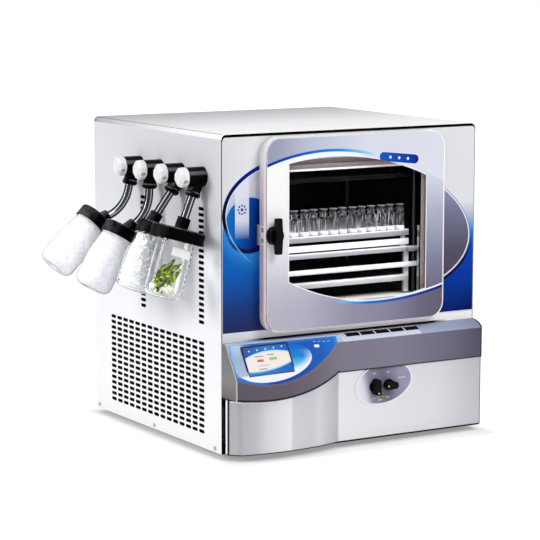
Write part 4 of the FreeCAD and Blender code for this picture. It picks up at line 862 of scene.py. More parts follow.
# %% Directions on the tilted face
FACE_CORNER = Vector((2.0, -17.0, 249.0))
face_down = Vector((2.0, -62.0, 178.0)) - FACE_CORNER
face_right = Vector((279.0, -39.0, 232.0)) - FACE_CORNER
face_normal = face_down.cross(face_right).normalized()
face_across = (Vector((1, 0, 0)) - face_normal * face_normal.x).normalized()
face_down = face_across.cross(face_normal)
SCREEN = (34.5, 11.5, 148.5, 80.5)


def face_place(finish):
    """The shaded point as millimetres across and down the tilted face."""
    place, fields = from_corner(finish.tree, CORNER / MM + FACE_CORNER), []
    for direction in (face_across, face_down):
        node = finish.tree.nodes.new("ShaderNodeVectorMath")
        node.operation = "DOT_PRODUCT"
        finish.tree.links.new(place, node.inputs[0])
        node.inputs[1].default_value = direction
        fields.append(Field(node.outputs["Value"]))
    return fields


print("the face tips back by", round(math.degrees(math.acos(-face_normal.y))), "degrees")

# %% The film round the screen
film = Finish("console_film", Specular_IOR_Level=0.09)
film.cover(powder_skin, Grain=1500.0, Depth=0.02)
u, v = face_place(film)
CRESCENT = dict(centre=(105.7, 54.5), reach=(98.3, 42.6), tilt=-0.1283)
crescent = oval_distance(u, v, **CRESCENT)
film.tone = film.ramp(u, (0, 128, 176, 230), (30, 110, 166, 228), (60, 20, 104, 206), (150, 12, 80, 178),
                      (230, 24, 92, 186), (266, 34, 110, 204), (277, 60, 140, 220), (283, 196, 226, 246))
film.lay(v.between(60, 100) * u.between(200, 160), (8, 70, 176))
top_blue = film.mix(u.between(60, 110), film.tone, (50, 136, 222))
film.lay(v.between(15, 7) * u.between(276, 256) * 0.85, top_blue)
inner = film.ramp(v, (0, 14, 84, 190), (22, 10, 108, 204), (46, 14, 138, 220), (64, 110, 200, 246),
                  (78, 252, 254, 255))
inner = film.mix(crescent.between(-20.5, -0.5) * v.between(29, 58), inner, (246, 251, 255))
film.lay(crescent.below(0), inner)
film.lay(v.between(68, 86) * u.between(84, 60) * crescent.above(0, 1.5), (30, 122, 226))
pale = box_distance(u, v, (9.0, 4.0), (35.5, 78.0), 4.0)
film.lay(pale.below(0), film.ramp(v, (5, 188, 208, 228), (40, 160, 184, 218), (86, 184, 196, 220)))
film.lay(pale.line(2.0, 1.0, 0.6) * 0.35, (206, 222, 244))
frame_edge = box_distance(u, v, (SCREEN[0] - 1, SCREEN[1] - 1), (SCREEN[2] + 1, SCREEN[3] + 1), 1.0)
film.lay(frame_edge.below(2.2) * v.below(70, 8), (24, 40, 92))
film.lay(bar_distance(u, v, (219.5, 26.4), (226.0, 27.0), 3.6).below(0), (240, 248, 255))
MARKS, MARK_SIZE = 4, (8.0, 2.2)
for number in range(MARKS):
    low = (216.0 + number * 12, 14.5 + number)
    mark = box_distance(u, v, low, (low[0] + MARK_SIZE[0], low[1] + MARK_SIZE[1]), 1.0)
    film.lay(mark.below(0) * 0.8, (120, 200, 244))
film.done(0.04, "console_overlay")
print("the film's crescent is", round(2 * CRESCENT["reach"][0]), "mm wide")

# %% [markdown]
# The screen is lit from behind. Its page is cream with a blue band above and below, and short plain bars
# stand for readings. The light it gives goes out through Emission, under a smooth and slightly glossy glass.

# %% The touch screen
screen = Finish("screen_page", Roughness=0.12, Specular_IOR_Level=0.25, Emission_Strength=0.12)
u, v = face_place(screen)
header = circle_distance(u, v, (100.0, 190.0), 166.0)
footer = circle_distance(u, v, (60.0, -170.0), 243.0)
screen.tone = screen.mix(v.between(20, 60) * 0.4, (234, 226, 220), (244, 234, 228))
screen.lay(header.above(-3.5), (190, 222, 240))
screen.lay(header.above(0), screen.ramp(u, (34, 20, 60, 150), (90, 36, 120, 200), (150, 30, 84, 176)))
screen.lay(footer.above(-3.0), (150, 208, 238))
screen.lay(footer.above(0), screen.ramp(u, (34, 28, 128, 206), (100, 30, 110, 196), (150, 20, 88, 178)))
bars = [((60, 35), (82, 37), (138, 128, 120)), ((93, 33), (110, 35), (138, 128, 120)),
        ((64, 43), (80, 49), (214, 92, 90)), ((95, 41), (114, 47), (134, 196, 112)),
        ((62, 57.4), (92, 59), (140, 184, 196)), ((63, 65), (84, 67), (128, 120, 112))]
for low, high, shade in bars:
    screen.lay(box_distance(u, v, low, high, 0.8).below(0, 0.8), shade)
for number in range(5):
    spot = circle_distance(u, v, (50 + number * 21, 21.5 - 0.9 * number), 1.8)
    screen.lay(spot.below(0, 0.8), (214, 236, 250))
screen.lay(box_distance(u, v, SCREEN[:2], SCREEN[2:], 0.5).above(-1.4, 0.8), (28, 34, 58))
screen.use("Emission Color", screen.tone)
grain = screen.group(powder_skin, Grain=2200.0, Depth=0.01)["Tone"]
screen.use("Base Color", screen.shade(screen.tone, grain, 0.02))
wear(screen, "touch_screen")
print("the screen shows", len(bars), "plain bars")

# %% [markdown]
# ## Steel
# Several steels are on the machine: the satin front panel, brushed up and down; polished tubes, rods and
# shelves; and plain screw and hinge steel. The grain's direction and depth tell them apart.

# %% The satin front panel
panel_left = drawn(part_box("lower_front_panel"))[0].x
satin = Finish("satin_front")
satin.cover(brushed_grain, Stretch=(1400.0, 1400.0, 14.0), Depth=0.05)
x, y, z = satin.place()
# The bands across x are painted reflection and shade of the curved, brushed sheet.
satin.tone = satin.ramp(
    x, (0, 176, 177, 181), (18, 182, 183, 188), (22, 172, 173, 178), (60, 182, 184, 188),
    (90, 208, 209, 213), (145, 228, 229, 232), (152, 204, 205, 209), (205, 204, 205, 210),
    (225, 214, 215, 219), (262, 196, 197, 202), (283, 188, 189, 194), (288, 228, 229, 232),
    (560, 220, 221, 225), (684, 192, 194, 199))
# Painted shade in the gap at the left edge, a painted highlight on the left side face, painted shadow at the
# foot.
satin.lay(x.below(panel_left + 2.6), (40, 41, 45))
side_highlight = x.below(panel_left + 0.6, 0.3) * y.above(-19.0)
satin.lay(side_highlight, (254, 254, 255))
satin.lay(z.below(4.2, 0.8), (30, 30, 33))
# A painted highlight runs along the top edge of the curve.
top_edge = circle_distance(x, z, *circle_through((0.0, 126.0), (100.0, 122.3), (283.0, 163.5)))
top_line = top_edge.line(1.0, 2.0) * x.below(286, 2.0) * x.above(8, 2.0)
satin.lay(top_line, (255, 255, 255))
# Painted shade along the right edge. Metallic drops where highlights are painted, so that their white shows.
satin.lay(x.above(681.4), (120, 122, 126))
satin.use("Metallic", (top_line.most(side_highlight) * 0.8).from_(0.9))
satin.done(0.12, "lower_front_panel", grain=0.12)
print("the front panel is brushed up and down and starts at", round(panel_left, 1), "mm")

# %% Polished and plain steel
polished = Finish("polished_steel", Metallic=1.0)
grain = polished.cover(brushed_grain, Stretch=(60.0, 900.0, 900.0), Depth=0.03)
polished.tone = polished.shade((158, 160, 165), grain.between(0.25, 0.75), 0.45)
polished.done(0.0, "stoppering_ram", "vacuum_port", "port_manifold", "collector_drum", share=0.5)
tubes = Finish("tube_steel", Metallic=1.0)
grain = tubes.cover(brushed_grain, Stretch=(700.0, 700.0, 60.0), Depth=0.03)
# Painted reflection: dark edges and a bright streak, set by how far the tube turns away from the eye.
painted_tube_reflection = tubes.ramp(turned_away(tubes), (0.0, 58, 59, 64), (0.05, 74, 76, 82), (0.1, 222, 224, 230),
                        (0.16, 206, 208, 214), (0.22, 40, 41, 46), (0.5, 16, 17, 20), (1.0, 10, 10, 12))
tubes.tone = tubes.shade(painted_tube_reflection, grain.between(0.3, 0.7), 0.35)
tubes.done(0.0, "adapter_tubes", share=0.5)
screw_steel = brushed("screw_steel", (232, 232, 234), (600.0, 600.0, 600.0), 0.05, 0.2, Metallic=0.5)
screw_steel.done(0.1, "flange_screws")
rod_steel = brushed("rod_steel", (60, 60, 64), (500.0, 500.0, 20.0), 0.05, 0.3, Metallic=0.9)
rod_steel.done(0.1, "guide_rods")
hinge_steel = brushed("hinge_steel", (178, 180, 184), (300.0, 300.0, 40.0), 0.06, 0.2, Metallic=1.0)
hinge_steel.lay(hinge_steel.group(rubbed_edges)["Rub"] * 0.4, (225, 226, 230))
hinge_steel.done(0.1, "hinge_cabinet_leaves", "hinge_door_leaves", "hinge_pins", "latch_cam", "panel_screws",
                 "latch_keeper")
print("five plain steels are on")

# %% [markdown]
# The shelves, their frame and the rail stand in the chamber's mouth, where each edge catches the light and
# each gap stays grey. The tone therefore runs in bands of painted highlight and painted shade up the rack,
# and is painted dark at the back, where the chamber's shade falls.

# %% The shelves
shelf_steel = Finish("shelf_steel", Metallic=0.4, Specular_IOR_Level=0.3)
shelf_steel.cover(brushed_grain, Stretch=(12.0, 900.0, 900.0), Depth=0.04)
x, y, z = shelf_steel.place()
shelf_steel.tone = shelf_steel.ramp(
    z, (326, 232, 230, 230), (345, 190, 190, 194), (353, 180, 180, 184), (361, 206, 206, 210),
    (364, 255, 255, 255), (386, 190, 190, 194), (391, 240, 240, 242), (397, 255, 255, 255),
    (420, 150, 150, 156), (428, 172, 172, 178), (431, 252, 252, 252), (436, 228, 228, 230),
    (450, 255, 255, 255), (457, 138, 138, 142), (467, 160, 160, 164), (470, 252, 252, 252))
# Painted shade at the back of the shelves.
shelf_steel.lay(y.above(27, 6.0) * z.below(462, 4.0), (14, 14, 16))
shelf_steel.done(0.1, "shelves", "rack_frame", "front_rail", grain=0.2)
print("the shelves wear", shelf_steel.material.name)

# %% [markdown]
# The chamber is a welded box whose dull walls are painted near black, painted shade for its dark inside, so
# that the samples stand out. The flange round its mouth is bare metal, a little warm in tone, painted lighter
# where the door shades it, with a painted highlight along the mouth's edge. Painted light lies on the floor
# just inside the mouth.

# %% The chamber's dark walls and its flange
MOUTH_LEFT, MOUTH_RIGHT, CEILING, FLOOR = 137.0, 529.0, 621.0, 321.0
FLANGE_TOP = 598.0
chamber = Finish("chamber_walls", Specular_IOR_Level=0.02)
grain = chamber.cover(brushed_grain, Stretch=(30.0, 30.0, 700.0), Depth=0.05)
x, y, z = chamber.place()
bore = box_distance(x, z, (MOUTH_LEFT, FLOOR), (MOUTH_RIGHT, CEILING), 2.0)
# Painted light: the flange is painted lighter to the right, where the door shades it.
flange = chamber.ramp(x, (111, 170, 162, 158), (500, 182, 174, 170), (532, 255, 238, 232),
                      (555, 248, 226, 220))
flange = chamber.shade(chamber.mix(z.above(FLANGE_TOP, 4.0), flange, (156, 148, 144)), grain, 0.15)
# Painted highlight along the mouth's edge.
flange = chamber.mix(bore.line(2.2, 2.4, 0.5) * z.above(FLANGE_TOP + 2.0, 4.0), flange, (255, 253, 250))
# Painted shade: the walls inside are near black.
chamber.tone = chamber.shade((3, 3, 4), grain, 0.3)
# Painted light on the floor just inside the mouth.
chamber.lay(y.between(70, 20) * z.below(FLOOR + 1.0), (252, 250, 247))
chamber.lay(bore.above(0.4, 0.4) * y.below(12, 2.0), flange)
chamber.done(0.3, "chamber_shell")
print("the chamber's mouth is", MOUTH_RIGHT - MOUTH_LEFT, "mm wide")

# %% [markdown]
# ## Mouldings, rubber and brass
# The handle, the valve knobs and the power entry are black mouldings with a fine spark-eroded texture and
# lighter edges. The port knobs are white.

# %% Black and white mouldings
NEAR_BLACK = (3, 3, 4)
black_moulding = moulded("black_moulding", NEAR_BLACK, (1100.0, 0.2), rub=(220.0, 0.3, (66, 66, 70)),
                         dust=(0.06, 0.4, (110, 106, 100)), Specular_IOR_Level=0.1)
black_moulding.done(0.08, "door_handle", "fan_rotor", "power_entry", "power_rocker")
white_moulding = moulded("white_moulding", (238, 238, 239), (600.0, 0.08), 0.05,
                         rub=(160.0, 0.15, (196, 194, 190)), Subsurface_Weight=0.05)
white_moulding.done(0.05, "port_knob_1", "port_knob_2", "port_knob_3", "port_knob_4")
print("black and white mouldings are on")

# %% [markdown]
# Each valve knob carries a white dot near the end of its lever, so that its setting can be read. The dot is
# part of the finish, placed on the knob's front face at rest, and turns with it.

# %% The two valve knobs
for name, dot_place in (("stopper_knob", (382.0, 108.5)), ("vent_knob", (409.5, 122.5))):
    knob = moulded(name + "_moulding", NEAR_BLACK, (1100.0, 0.2), rub=(220.0, 0.35, (70, 70, 76)),
                   Specular_IOR_Level=0.1)
    x, y, z = knob.place()
    front = drawn(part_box(name))[0].y
    knob.lay(circle_distance(x, z, dot_place, 1.9).below(0) * y.below(front + 1.5, 0.4), (226, 226, 228))
    knob.done(0.05, name)
print("the knobs have their dots")

# %% [markdown]
# The valve plate is a thin lavender print on metal. Short white strokes round each knob mark its stops.

# %% The valve plate
plate = Finish("valve_plate_print", Specular_IOR_Level=0.1)
plate.cover(powder_skin, Grain=1500.0, Depth=0.04)
x, y, z = plate.place()
plate.tone = plate.ramp(x + z * 0.3, (366, 244, 242, 252), (388, 232, 230, 243), (408, 152, 146, 170),
                        (450, 118, 114, 136), (500, 158, 156, 180))
plate_edge = oval_distance(x, z, (409.0, 127.0), (79.0, 49.0), math.radians(8.0))
plate.lay(plate_edge.line(-1.8, 2.0, 0.6), (244, 244, 250))
strokes = [((379, 151), (387, 153)), ((416, 151), (424, 153)), ((341, 121.5), (357, 123.4)),
           ((447, 135.0), (468, 137.0)), ((376, 92.5), (386, 94.5)), ((393, 88.0), (405, 90.0)),
           ((416, 92.5), (425, 94.5))]
for low, high in strokes:
    plate.lay(box_distance(x, z, low, high, 0.8).below(0) * 0.9, (228, 229, 238))
plate.done(0.05, "valve_plate", grain=0.04)
print("the plate has", len(strokes), "strokes")

# %% [markdown]
# Rubber is nearly black and mostly dull. A light band along the upper side of each moulded valve is a painted
# highlight, for the soft shine of its rubber. The tops of the flasks carry thick dust, which also paints the
# light on their upturned faces. The stoppers are grey with a painted highlight on top, and the gasket is its
# own pinkish rubber, both matt.

# %% Rubber
black_rubber = moulded("black_rubber", NEAR_BLACK, (420.0, 0.12), 0.3, rub=(90.0, 0.2, (54, 54, 58)),
                       Specular_IOR_Level=0.04)
up = upward(black_rubber.tree)
# Painted highlight: a light band along the valve's upper side, found from how far the surface faces up.
black_rubber.lay(up.between(0.22, 0.38) * up.between(0.7, 0.58) * 0.8, (112, 112, 114))
black_rubber.lay(black_rubber.group(settled_dust, Amount=0.03)["Dust"] * 0.5, (96, 94, 90))
black_rubber.done(0.0, "port_valves", "feet")
# The flask tops' dust is laid thick, real dust that also paints the light on their upturned faces.
lid_rubber = moulded("lid_rubber", NEAR_BLACK, (420.0, 0.12), 0.3, dust=(0.9, 1.5, (112, 112, 116)),
                     Specular_IOR_Level=0.02)
lid_rubber.done(0.1, "flask_tops")
grey_rubber = moulded("grey_rubber", (48, 48, 51), (600.0, 0.15), 0.2)
x, y, z = grey_rubber.place()
stopper_top = drawn(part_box("vial_stoppers"))[1].z
painted_lit_top = z.between(stopper_top - 1.6, stopper_top - 0.4) * z.below(stopper_top + 1.0, 0.4)
# Painted highlight on the stoppers' tops.
grey_rubber.lay(painted_lit_top, (150, 150, 154))
grey_rubber.done(0.35, "vial_stoppers")
gasket_rubber = Finish("gasket_rubber", Specular_IOR_Level=0.1)
gasket_rubber.cover(powder_skin, Grain=600.0, Depth=0.15)
x, y, z = gasket_rubber.place()
gasket_rubber.tone = gasket_rubber.ramp(x, (480, 150, 142, 138), (515, 122, 110, 110))
gasket_rubber.done(0.35, "door_gasket", grain=0.2)
print("four rubbers are on")

# %% [markdown]
# The gas inlet and the control valves are turned brass. Turning leaves rings, so the grain runs round.

# %% Turned brass
brass = Finish("turned_brass", Metallic=1.0)
grain = brass.cover(brushed_grain, Stretch=(200.0, 1800.0, 200.0), Depth=0.08)
brass.tone = brass.mix(grain.between(0.3, 0.7), (176, 138, 62), (222, 188, 108))
brass.done(0.0, "gas_inlet_barb", "control_valves")
print("brass is on")

# %% [markdown]
# ## Behind the panels
# The working parts show only when the panels are off, yet each gets its own finish: grey enamel on the
# stoppering cylinder, black enamel on the frame, the shroud and the compressors, black-coated fins, and a
# green circuit board with fine pale green lines. All that lies near the cooling slots is dark, as on a real
# machine, and that dark also stands in for the shade inside the cabinet, so that nothing shines through them.

# %% Enamels, fins and circuit board
for name, base, grain_size, wearers in (
        ("grey_enamel", (104, 108, 114), 500.0, ("stoppering_cylinder",)),
        ("black_enamel", (26, 27, 30), 260.0, ("inner_frame", "fan_shroud", "compressors"))):
    enamel = moulded(name, base, (grain_size, 0.15), 0.2, rub=(160.0, 0.5, (150, 150, 152)),
                     dust=(0.5, 1.0, (140, 134, 124)), Coat_Weight=0.3)
    enamel.done(0.1, *wearers)
fins = brushed("coil_fins", (24, 25, 28), (500.0, 30.0, 30.0), 0.1, 0.3, Metallic=0.2,
               Specular_IOR_Level=0.3)
fins.done(0.3, "condenser_coil")
board = Finish("board_laminate", Coat_Weight=0.4)
skin = board.group(powder_skin, Grain=900.0, Depth=0.05)
weave = board.tree.nodes.new("ShaderNodeTexBrick")
for socket, value in (("Vector", object_vector(board.tree)), ("Scale", 160.0), ("Mortar Size", 0.06),
                      ("Color1", (18, 92, 52)), ("Color2", (22, 100, 58)), ("Mortar", (70, 132, 74))):
    connect(value, weave.inputs[socket])
board.use("Base Color", board.shade(Field(weave.outputs[0]), skin["Tone"], 0.1))
board.use("Roughness", skin["Roughness"])
wear(board, "control_board")
print("enamels, fins and board are on")

# %% [markdown]
# ## What the flasks and vials hold
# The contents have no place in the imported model, because they aren't parts of the machine. Each flask is a
# round body about a leaning axis. Its node's extent across that axis gives the axis, so the contents fit
# without any numbers for their place.

# %% Finding a flask's axis
WALL, NECK, FOOT_BEND, SHOULDER_SHARE = 3.0 * MM, 15 * MM, 18 * MM, 0.46


class Flask:
    """A flask's axis and inner shape, in metres. Distances run from the rim towards the foot."""

    def __init__(self, name, lean, mouth, body, length):
        cos, sin = math.cos(math.radians(lean)), math.sin(math.radians(lean))
        self.down, self.side = Vector((-sin, 0, -cos)), Vector((cos, 0, -sin))
        points = [vertex.co for vertex in nodes[name].data.vertices]
        sides = [point.dot(self.side) for point in points]
        fronts = [point.y for point in points]
        self.rim = self.side * (min(sides) + max(sides)) / 2
        self.rim += self.down * min(point.dot(self.down) for point in points)
        self.rim += Vector((0, (min(fronts) + max(fronts)) / 2, 0))
        self.mouth, self.body, self.length = mouth * MM, body * MM, length * MM

    def place(self, radius, turn, depth):
        """A point at that distance from the axis, that turn round it and that depth from the rim."""
        out = self.side * math.cos(turn) + Vector((0, 1, 0)) * math.sin(turn)
        return self.rim + self.down * depth + out * radius

    def inner_radius(self, depth):
        """The glass's inner radius at a depth, as drawn: straight rim, widening shoulder, rounded foot."""
        shoulder = self.length * SHOULDER_SHARE
        bend, floor = FOOT_BEND - WALL, self.length - WALL
        if depth < NECK:
            return self.mouth - WALL
        if depth < shoulder:
            return self.mouth - WALL + (self.body - self.mouth) * (depth - NECK) / (shoulder - NECK)
        if depth < floor - bend:
            return self.body - WALL
        rise = min(depth - (floor - bend), bend)
        return self.body - WALL - bend + math.sqrt(max(bend * bend - rise * rise, 0))


flasks = {name: Flask(name, *sizes) for name, sizes in {
    "flask_1": (16.5, 42.0, 43.5, 143.0), "flask_2": (22.0, 34.0, 43.5, 145.0),
    "flask_3": (30.0, 34.0, 43.5, 145.0), "flask_4": (44.3, 34.0, 43.5, 145.0)}.items()}
for name, flask in flasks.items():
    print(name, "has its rim at", tuple(round(value, 3) for value in flask.rim))

# %% [markdown]
# A piece made from points and faces needs the same few lines each time, so they go in one function. It also
# tells the frame which body the piece moves with. Three more functions find the faces of a turned shape and
# of a closed sheet, and the outline of a rounded rectangle.

# %% Making a piece from points


def piece(name, points, faces, finish, body="cabinet", smooth=True):
    mesh = bpy.data.meshes.new(name)
    mesh.from_pydata([tuple(point) for point in points], [], faces)
    mesh.validate()
    shaped = bmesh.new()
    shaped.from_mesh(mesh)
    bmesh.ops.recalc_face_normals(shaped, faces=shaped.faces)
    shaped.to_mesh(mesh)
    shaped.free()
    for polygon in mesh.polygons:
        polygon.use_smooth = smooth
    made = put_in_scene(name, mesh)
    mesh.materials.append(finish.material)
    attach(made, body)
    print(name, "has", len(mesh.polygons), "faces")
    return made


def ring_faces(rings, around, start=0):
    """Faces between rings of points, with a point at each end to close them."""
    first, last = start, start + 1 + rings * around
    faces = []
    for step in range(around):
        after = (step + 1) % around
        faces.append((first, first + 1 + after, first + 1 + step))
        for ring in range(rings - 1):
            a, b = first + 1 + ring * around, first + 1 + (ring + 1) * around
            faces.append((a + step, a + after, b + after, b + step))
        a = first + 1 + (rings - 1) * around
        faces.append((a + step, a + after, last))
    return faces


def sheet_faces(start, rows, columns):
    """Faces of a closed sheet: a grid of points, then the same grid on its other side, and the rim."""
    width, layer = columns + 1, (rows + 1) * (columns + 1)
    faces = []
    for row in range(rows):
        for column in range(columns):
            a = start + row * width + column
            quad = (a, a + 1, a + width + 1, a + width)
            faces += [quad, tuple(index + layer for index in reversed(quad))]
    rim = [start + column for column in range(width)]
    rim += [start + row * width + columns for row in range(1, rows + 1)]
    rim += [start + rows * width + column for column in range(columns - 1, -1, -1)]
    rim += [start + row * width for row in range(rows - 1, 0, -1)]
    return faces + [(here, after, after + layer, here + layer) for here, after in zip(rim, rim[1:] + rim[:1])]


def rounded_outline(low, high, radius, steps, outset=0.0):
    """Points round a rectangle with rounded corners, that far outside its edge."""
    left, right, bottom, top = low[0] + radius, high[0] - radius, low[1] + radius, high[1] - radius
    outline = []
    for quarter, middle in enumerate(((right, top), (left, top), (left, bottom), (right, bottom))):
        for step in range(steps + 1):
            turn = math.pi / 2 * (quarter + step / steps)
            outline.append((middle[0] + (radius + outset) * math.cos(turn),
                            middle[1] + (radius + outset) * math.sin(turn)))
    return outline


print("pieces can now be made from points")

# %% [markdown]
# The door's sawn edge is ground matt and looks pale and a little pink. A painted highlight runs along each
# arris, and the edge is painted paler towards its top and its foot. A thin closed band round the plate is the
# simplest way to show that, since the plate itself stays clear.

# %% The ground edge of the door
edge_finish = Finish("ground_edge", Roughness=0.5, Specular_IOR_Level=0.3)
x, y, z = edge_finish.place()
grind = edge_finish.noise(500.0, detail=3.0)
# The stops give the pink band and a painted highlight along each arris.
edge_finish.tone = edge_finish.ramp(
    y, (-35, 210, 204, 206), (-33.6, 255, 250, 250), (-30, 250, 236, 236), (-25, 240, 196, 196),
    (-18, 236, 190, 190), (-13, 255, 248, 248), (-10, 246, 244, 244), (-8, 196, 192, 194))
# Painted light: the edge is paler towards its top and its foot.
edge_finish.lay(z.between(540, 650), (244, 243, 246))
edge_finish.lay(z.between(316, 276), (252, 236, 234))
edge_finish.use("Base Color", edge_finish.shade(edge_finish.tone, grind, 0.1))
edge_finish.use("Normal", bumped(edge_finish.tree, grind, 0.15, 0.0002))
BAND_THICK = 0.3
points = []
for outset, y in ((0.02, -34.95), (BAND_THICK, -34.8), (BAND_THICK, -8.2), (0.02, -8.05)):
    ring = rounded_outline((door_low.x, door_low.z), (door_high.x, door_high.z), DOOR_CORNER, 10, outset)
    points += [at(x, y, z) for x, z in ring]
count = len(ring)
faces = [(layer * count + step, layer * count + (step + 1) % count,
          (layer + 1) % 4 * count + (step + 1) % count, (layer + 1) % 4 * count + step)
         for layer in range(4) for step in range(count)]
piece("door_ground_edge", points, faces, edge_finish, body="door")

# %% [markdown]
# Air comes in through the side slots, so a mat of dark open foam hangs behind them and keeps the dust out.
# Its dark also stands in for the shade inside the cabinet, seen through the slots. It is one rounded slab,
# and the
# finish gives it its open cells: the walls between Voronoi cells stand out, and the cells are black.

# %% The dust mat behind the side slots


def cell_distance(finish, scale):
    """How far a point lies from the nearest wall between two cells."""
    cells = finish.tree.nodes.new("ShaderNodeTexVoronoi")
    cells.feature = "DISTANCE_TO_EDGE"
    cells.inputs["Scale"].default_value = scale
    connect(object_vector(finish.tree), cells.inputs["Vector"])
    return Field(cells.outputs[0])


def slab(low, high, radius):
    """Points and faces of a thin upright slab across x with rounded corners."""
    outline = rounded_outline(low[1:], high[1:], radius, 6)
    count = len(outline)
    points = [at(x, y, z) for x in (low[0], high[0]) for y, z in outline]
    faces = [tuple(range(count)), tuple(range(2 * count - 1, count - 1, -1))]
    faces += [(step, (step + 1) % count, count + (step + 1) % count, count + step) for step in range(count)]
    return points, faces


mat = Finish("dust_mat", Roughness=0.95, Specular_IOR_Level=0.05)
cell_walls = cell_distance(mat, 700.0).between(0.3, 0.05)
mat.use("Base Color", mat.mix(cell_walls, NEAR_BLACK, (18, 18, 20)))
mat.use("Normal", bumped(mat.tree, cell_walls, 0.5, 0.0006))
piece("dust_mat", *slab((5.0, 44.0, 26.0), (8.0, 572.0, 556.0), 12.0), mat, smooth=False)

# %% [markdown]
# A small bright plate with two screws is let into the door's edge beside the handle, where the catch pulls.
# It moves with the door.

# %% The catch plate on the door's edge
catch = brushed("catch_steel", (252, 250, 250), (400.0, 400.0, 400.0), 0.06, 0.25, Metallic=0.15)
x, y, z = catch.place()
SCREWS, SCREW_RADIUS, SOCKET_RADIUS = ((-22.0, 475.0), (-22.0, 499.0)), 4.2, 1.6
heads, sockets = [circle_distance(y, z, SCREWS[0], radius).least(circle_distance(y, z, SCREWS[1], radius))
                  for radius in (SCREW_RADIUS, SOCKET_RADIUS)]
catch.lay(heads.line(0, 1.1, 0.5), (62, 58, 62))
catch.lay(sockets.below(0, 0.5), (22, 22, 24))
catch.done(0.1)
edge_x = door_low.x - BAND_THICK - 0.05
catch_slab = slab((edge_x - 0.9, -30.0, 466.0), (edge_x, -14.0, 508.0), 3.0)
piece("catch_plate", *catch_slab, catch, body="door", smooth=False)

# %% [markdown]
# The two back flasks are full of frozen sample: a white mass that follows the glass, with an uneven top and a
# surface that rises and falls a little. A turned shape with noise on its radius does it. A smaller mass of
# the same kind stands in the middle of the second flask.

# %% Frozen sample
RAGGED_TOP, BUMP, FOOT_GAP = 3.5 * MM, 0.5 * MM, 0.6 * MM
frozen = mottled("frozen_sample", 260.0, (0.3, 0.7), (228, 228, 233), (252, 252, 253), (0.3, 0.0006),
                 roughness=0.7, Subsurface_Weight=0.25, Subsurface_Scale=0.01,
                 Subsurface_Radius=(1.0, 1.0, 1.1))
frozen.use("Roughness", frozen.mottle * 0.4 + 0.4)


def frozen_mass(flask, name, top, seed, clear=0.5 * MM):
    """A frozen mass in a flask, from its top's depth to the foot, that far clear of the glass."""
    rings, around = 34, 64
    floor = flask.length - WALL - FOOT_GAP
    points = [flask.place(0, 0, top + 2 * MM)]
    for ring in range(rings):
        share = ring / (rings - 1)
        for step in range(around):
            turn = 2 * math.pi * step / around
            ragged = RAGGED_TOP * noise.noise(Vector((math.cos(turn) * 3, math.sin(turn) * 3, seed)))
            depth = top + ragged * (1 - share) + (floor - top) * (1 - (1 - share) ** 1.15)
            bumps = noise.noise(Vector((math.cos(turn) * 4, math.sin(turn) * 4, depth * 60 + seed)))
            radius = flask.inner_radius(depth) - clear - BUMP * (bumps + 1)
            points.append(flask.place(max(radius, 0.5 * MM), turn, depth))
    points.append(flask.place(0, 0, floor + 0.5 * MM - clear))
    piece(name, points, ring_faces(rings, around), frozen)


frozen_mass(flasks["flask_3"], "frozen_sample_3", 19 * MM, 3.0)
frozen_mass(flasks["flask_4"], "frozen_sample_4", 19 * MM, 8.0)
frozen_mass(flasks["flask_2"], "frozen_core_2", 26 * MM, 5.0, 6 * MM)

# %% [markdown]
# The second flask holds loose ice grains. Several hundred small faceted lumps, each a squeezed and turned
# icosphere, are packed by dropping them at random places inside the glass. They form one mesh, which keeps
# the scene light.

# %% Loose grains
# The grains give out a faint painted glow, for the light that ice scatters.
grain_white = mottled("grain_white", 420.0, (0.35, 0.55), (226, 228, 233), (254, 255, 255), (0.4, 0.0006),
                      detail=2.0, Subsurface_Weight=0.2, Subsurface_Scale=0.004, Roughness=0.32,
                      Emission_Strength=0.1, Emission_Color=(0.9, 0.93, 1.0, 1.0))


def lump(centre, size, dice, points, faces):
    """Add one faceted lump to lists of points and faces."""
    shaped = bmesh.new()
    bmesh.ops.create_icosphere(shaped, subdivisions=1, radius=1)
    squeeze = Vector([size * dice.uniform(0.6, 1.15) for _ in range(3)])
    turn = Matrix.Rotation(dice.uniform(0, 6.28), 3, Vector([dice.uniform(-1, 1) for _ in range(3)]))
    start = len(points)
    for vertex in shaped.verts:
        shape = Vector([value * stretch for value, stretch in zip(vertex.co, squeeze)])
        points.append(centre + turn @ (shape * dice.uniform(0.86, 1.1)))
    faces.extend(tuple(start + vertex.index for vertex in face.verts) for face in shaped.faces)
    shaped.free()


GRAINS, ROOM_FOR_SIZE = 1300, 1.15
dice = random.Random(21)
flask = flasks["flask_2"]
points, faces = [], []
for number in range(GRAINS):
    size = dice.uniform(1.9, 3.9) * MM
    depth = dice.uniform(18 * MM, flask.length - WALL - size * 1.2)
    lower = min(depth + size, flask.length - 4 * MM)
    room = min(flask.inner_radius(depth), flask.inner_radius(lower)) - size * ROOM_FOR_SIZE
    if room <= 0:
        continue
    radius = room * math.sqrt(dice.uniform(0.6, 1.0))
    lump(flask.place(radius, dice.uniform(0, 2 * math.pi), depth), size, dice, points, faces)
piece("ice_grains", points, faces, grain_white, smooth=False)

# %% [markdown]
# The front flask holds a few green leaves on a little pale matter. A leaf is a curved strip, wide in the
# middle and pointed at its end, with a channel along its rib and a wavy rim. Each one leans from the lower
# left to the upper right, and its points are kept within the glass.

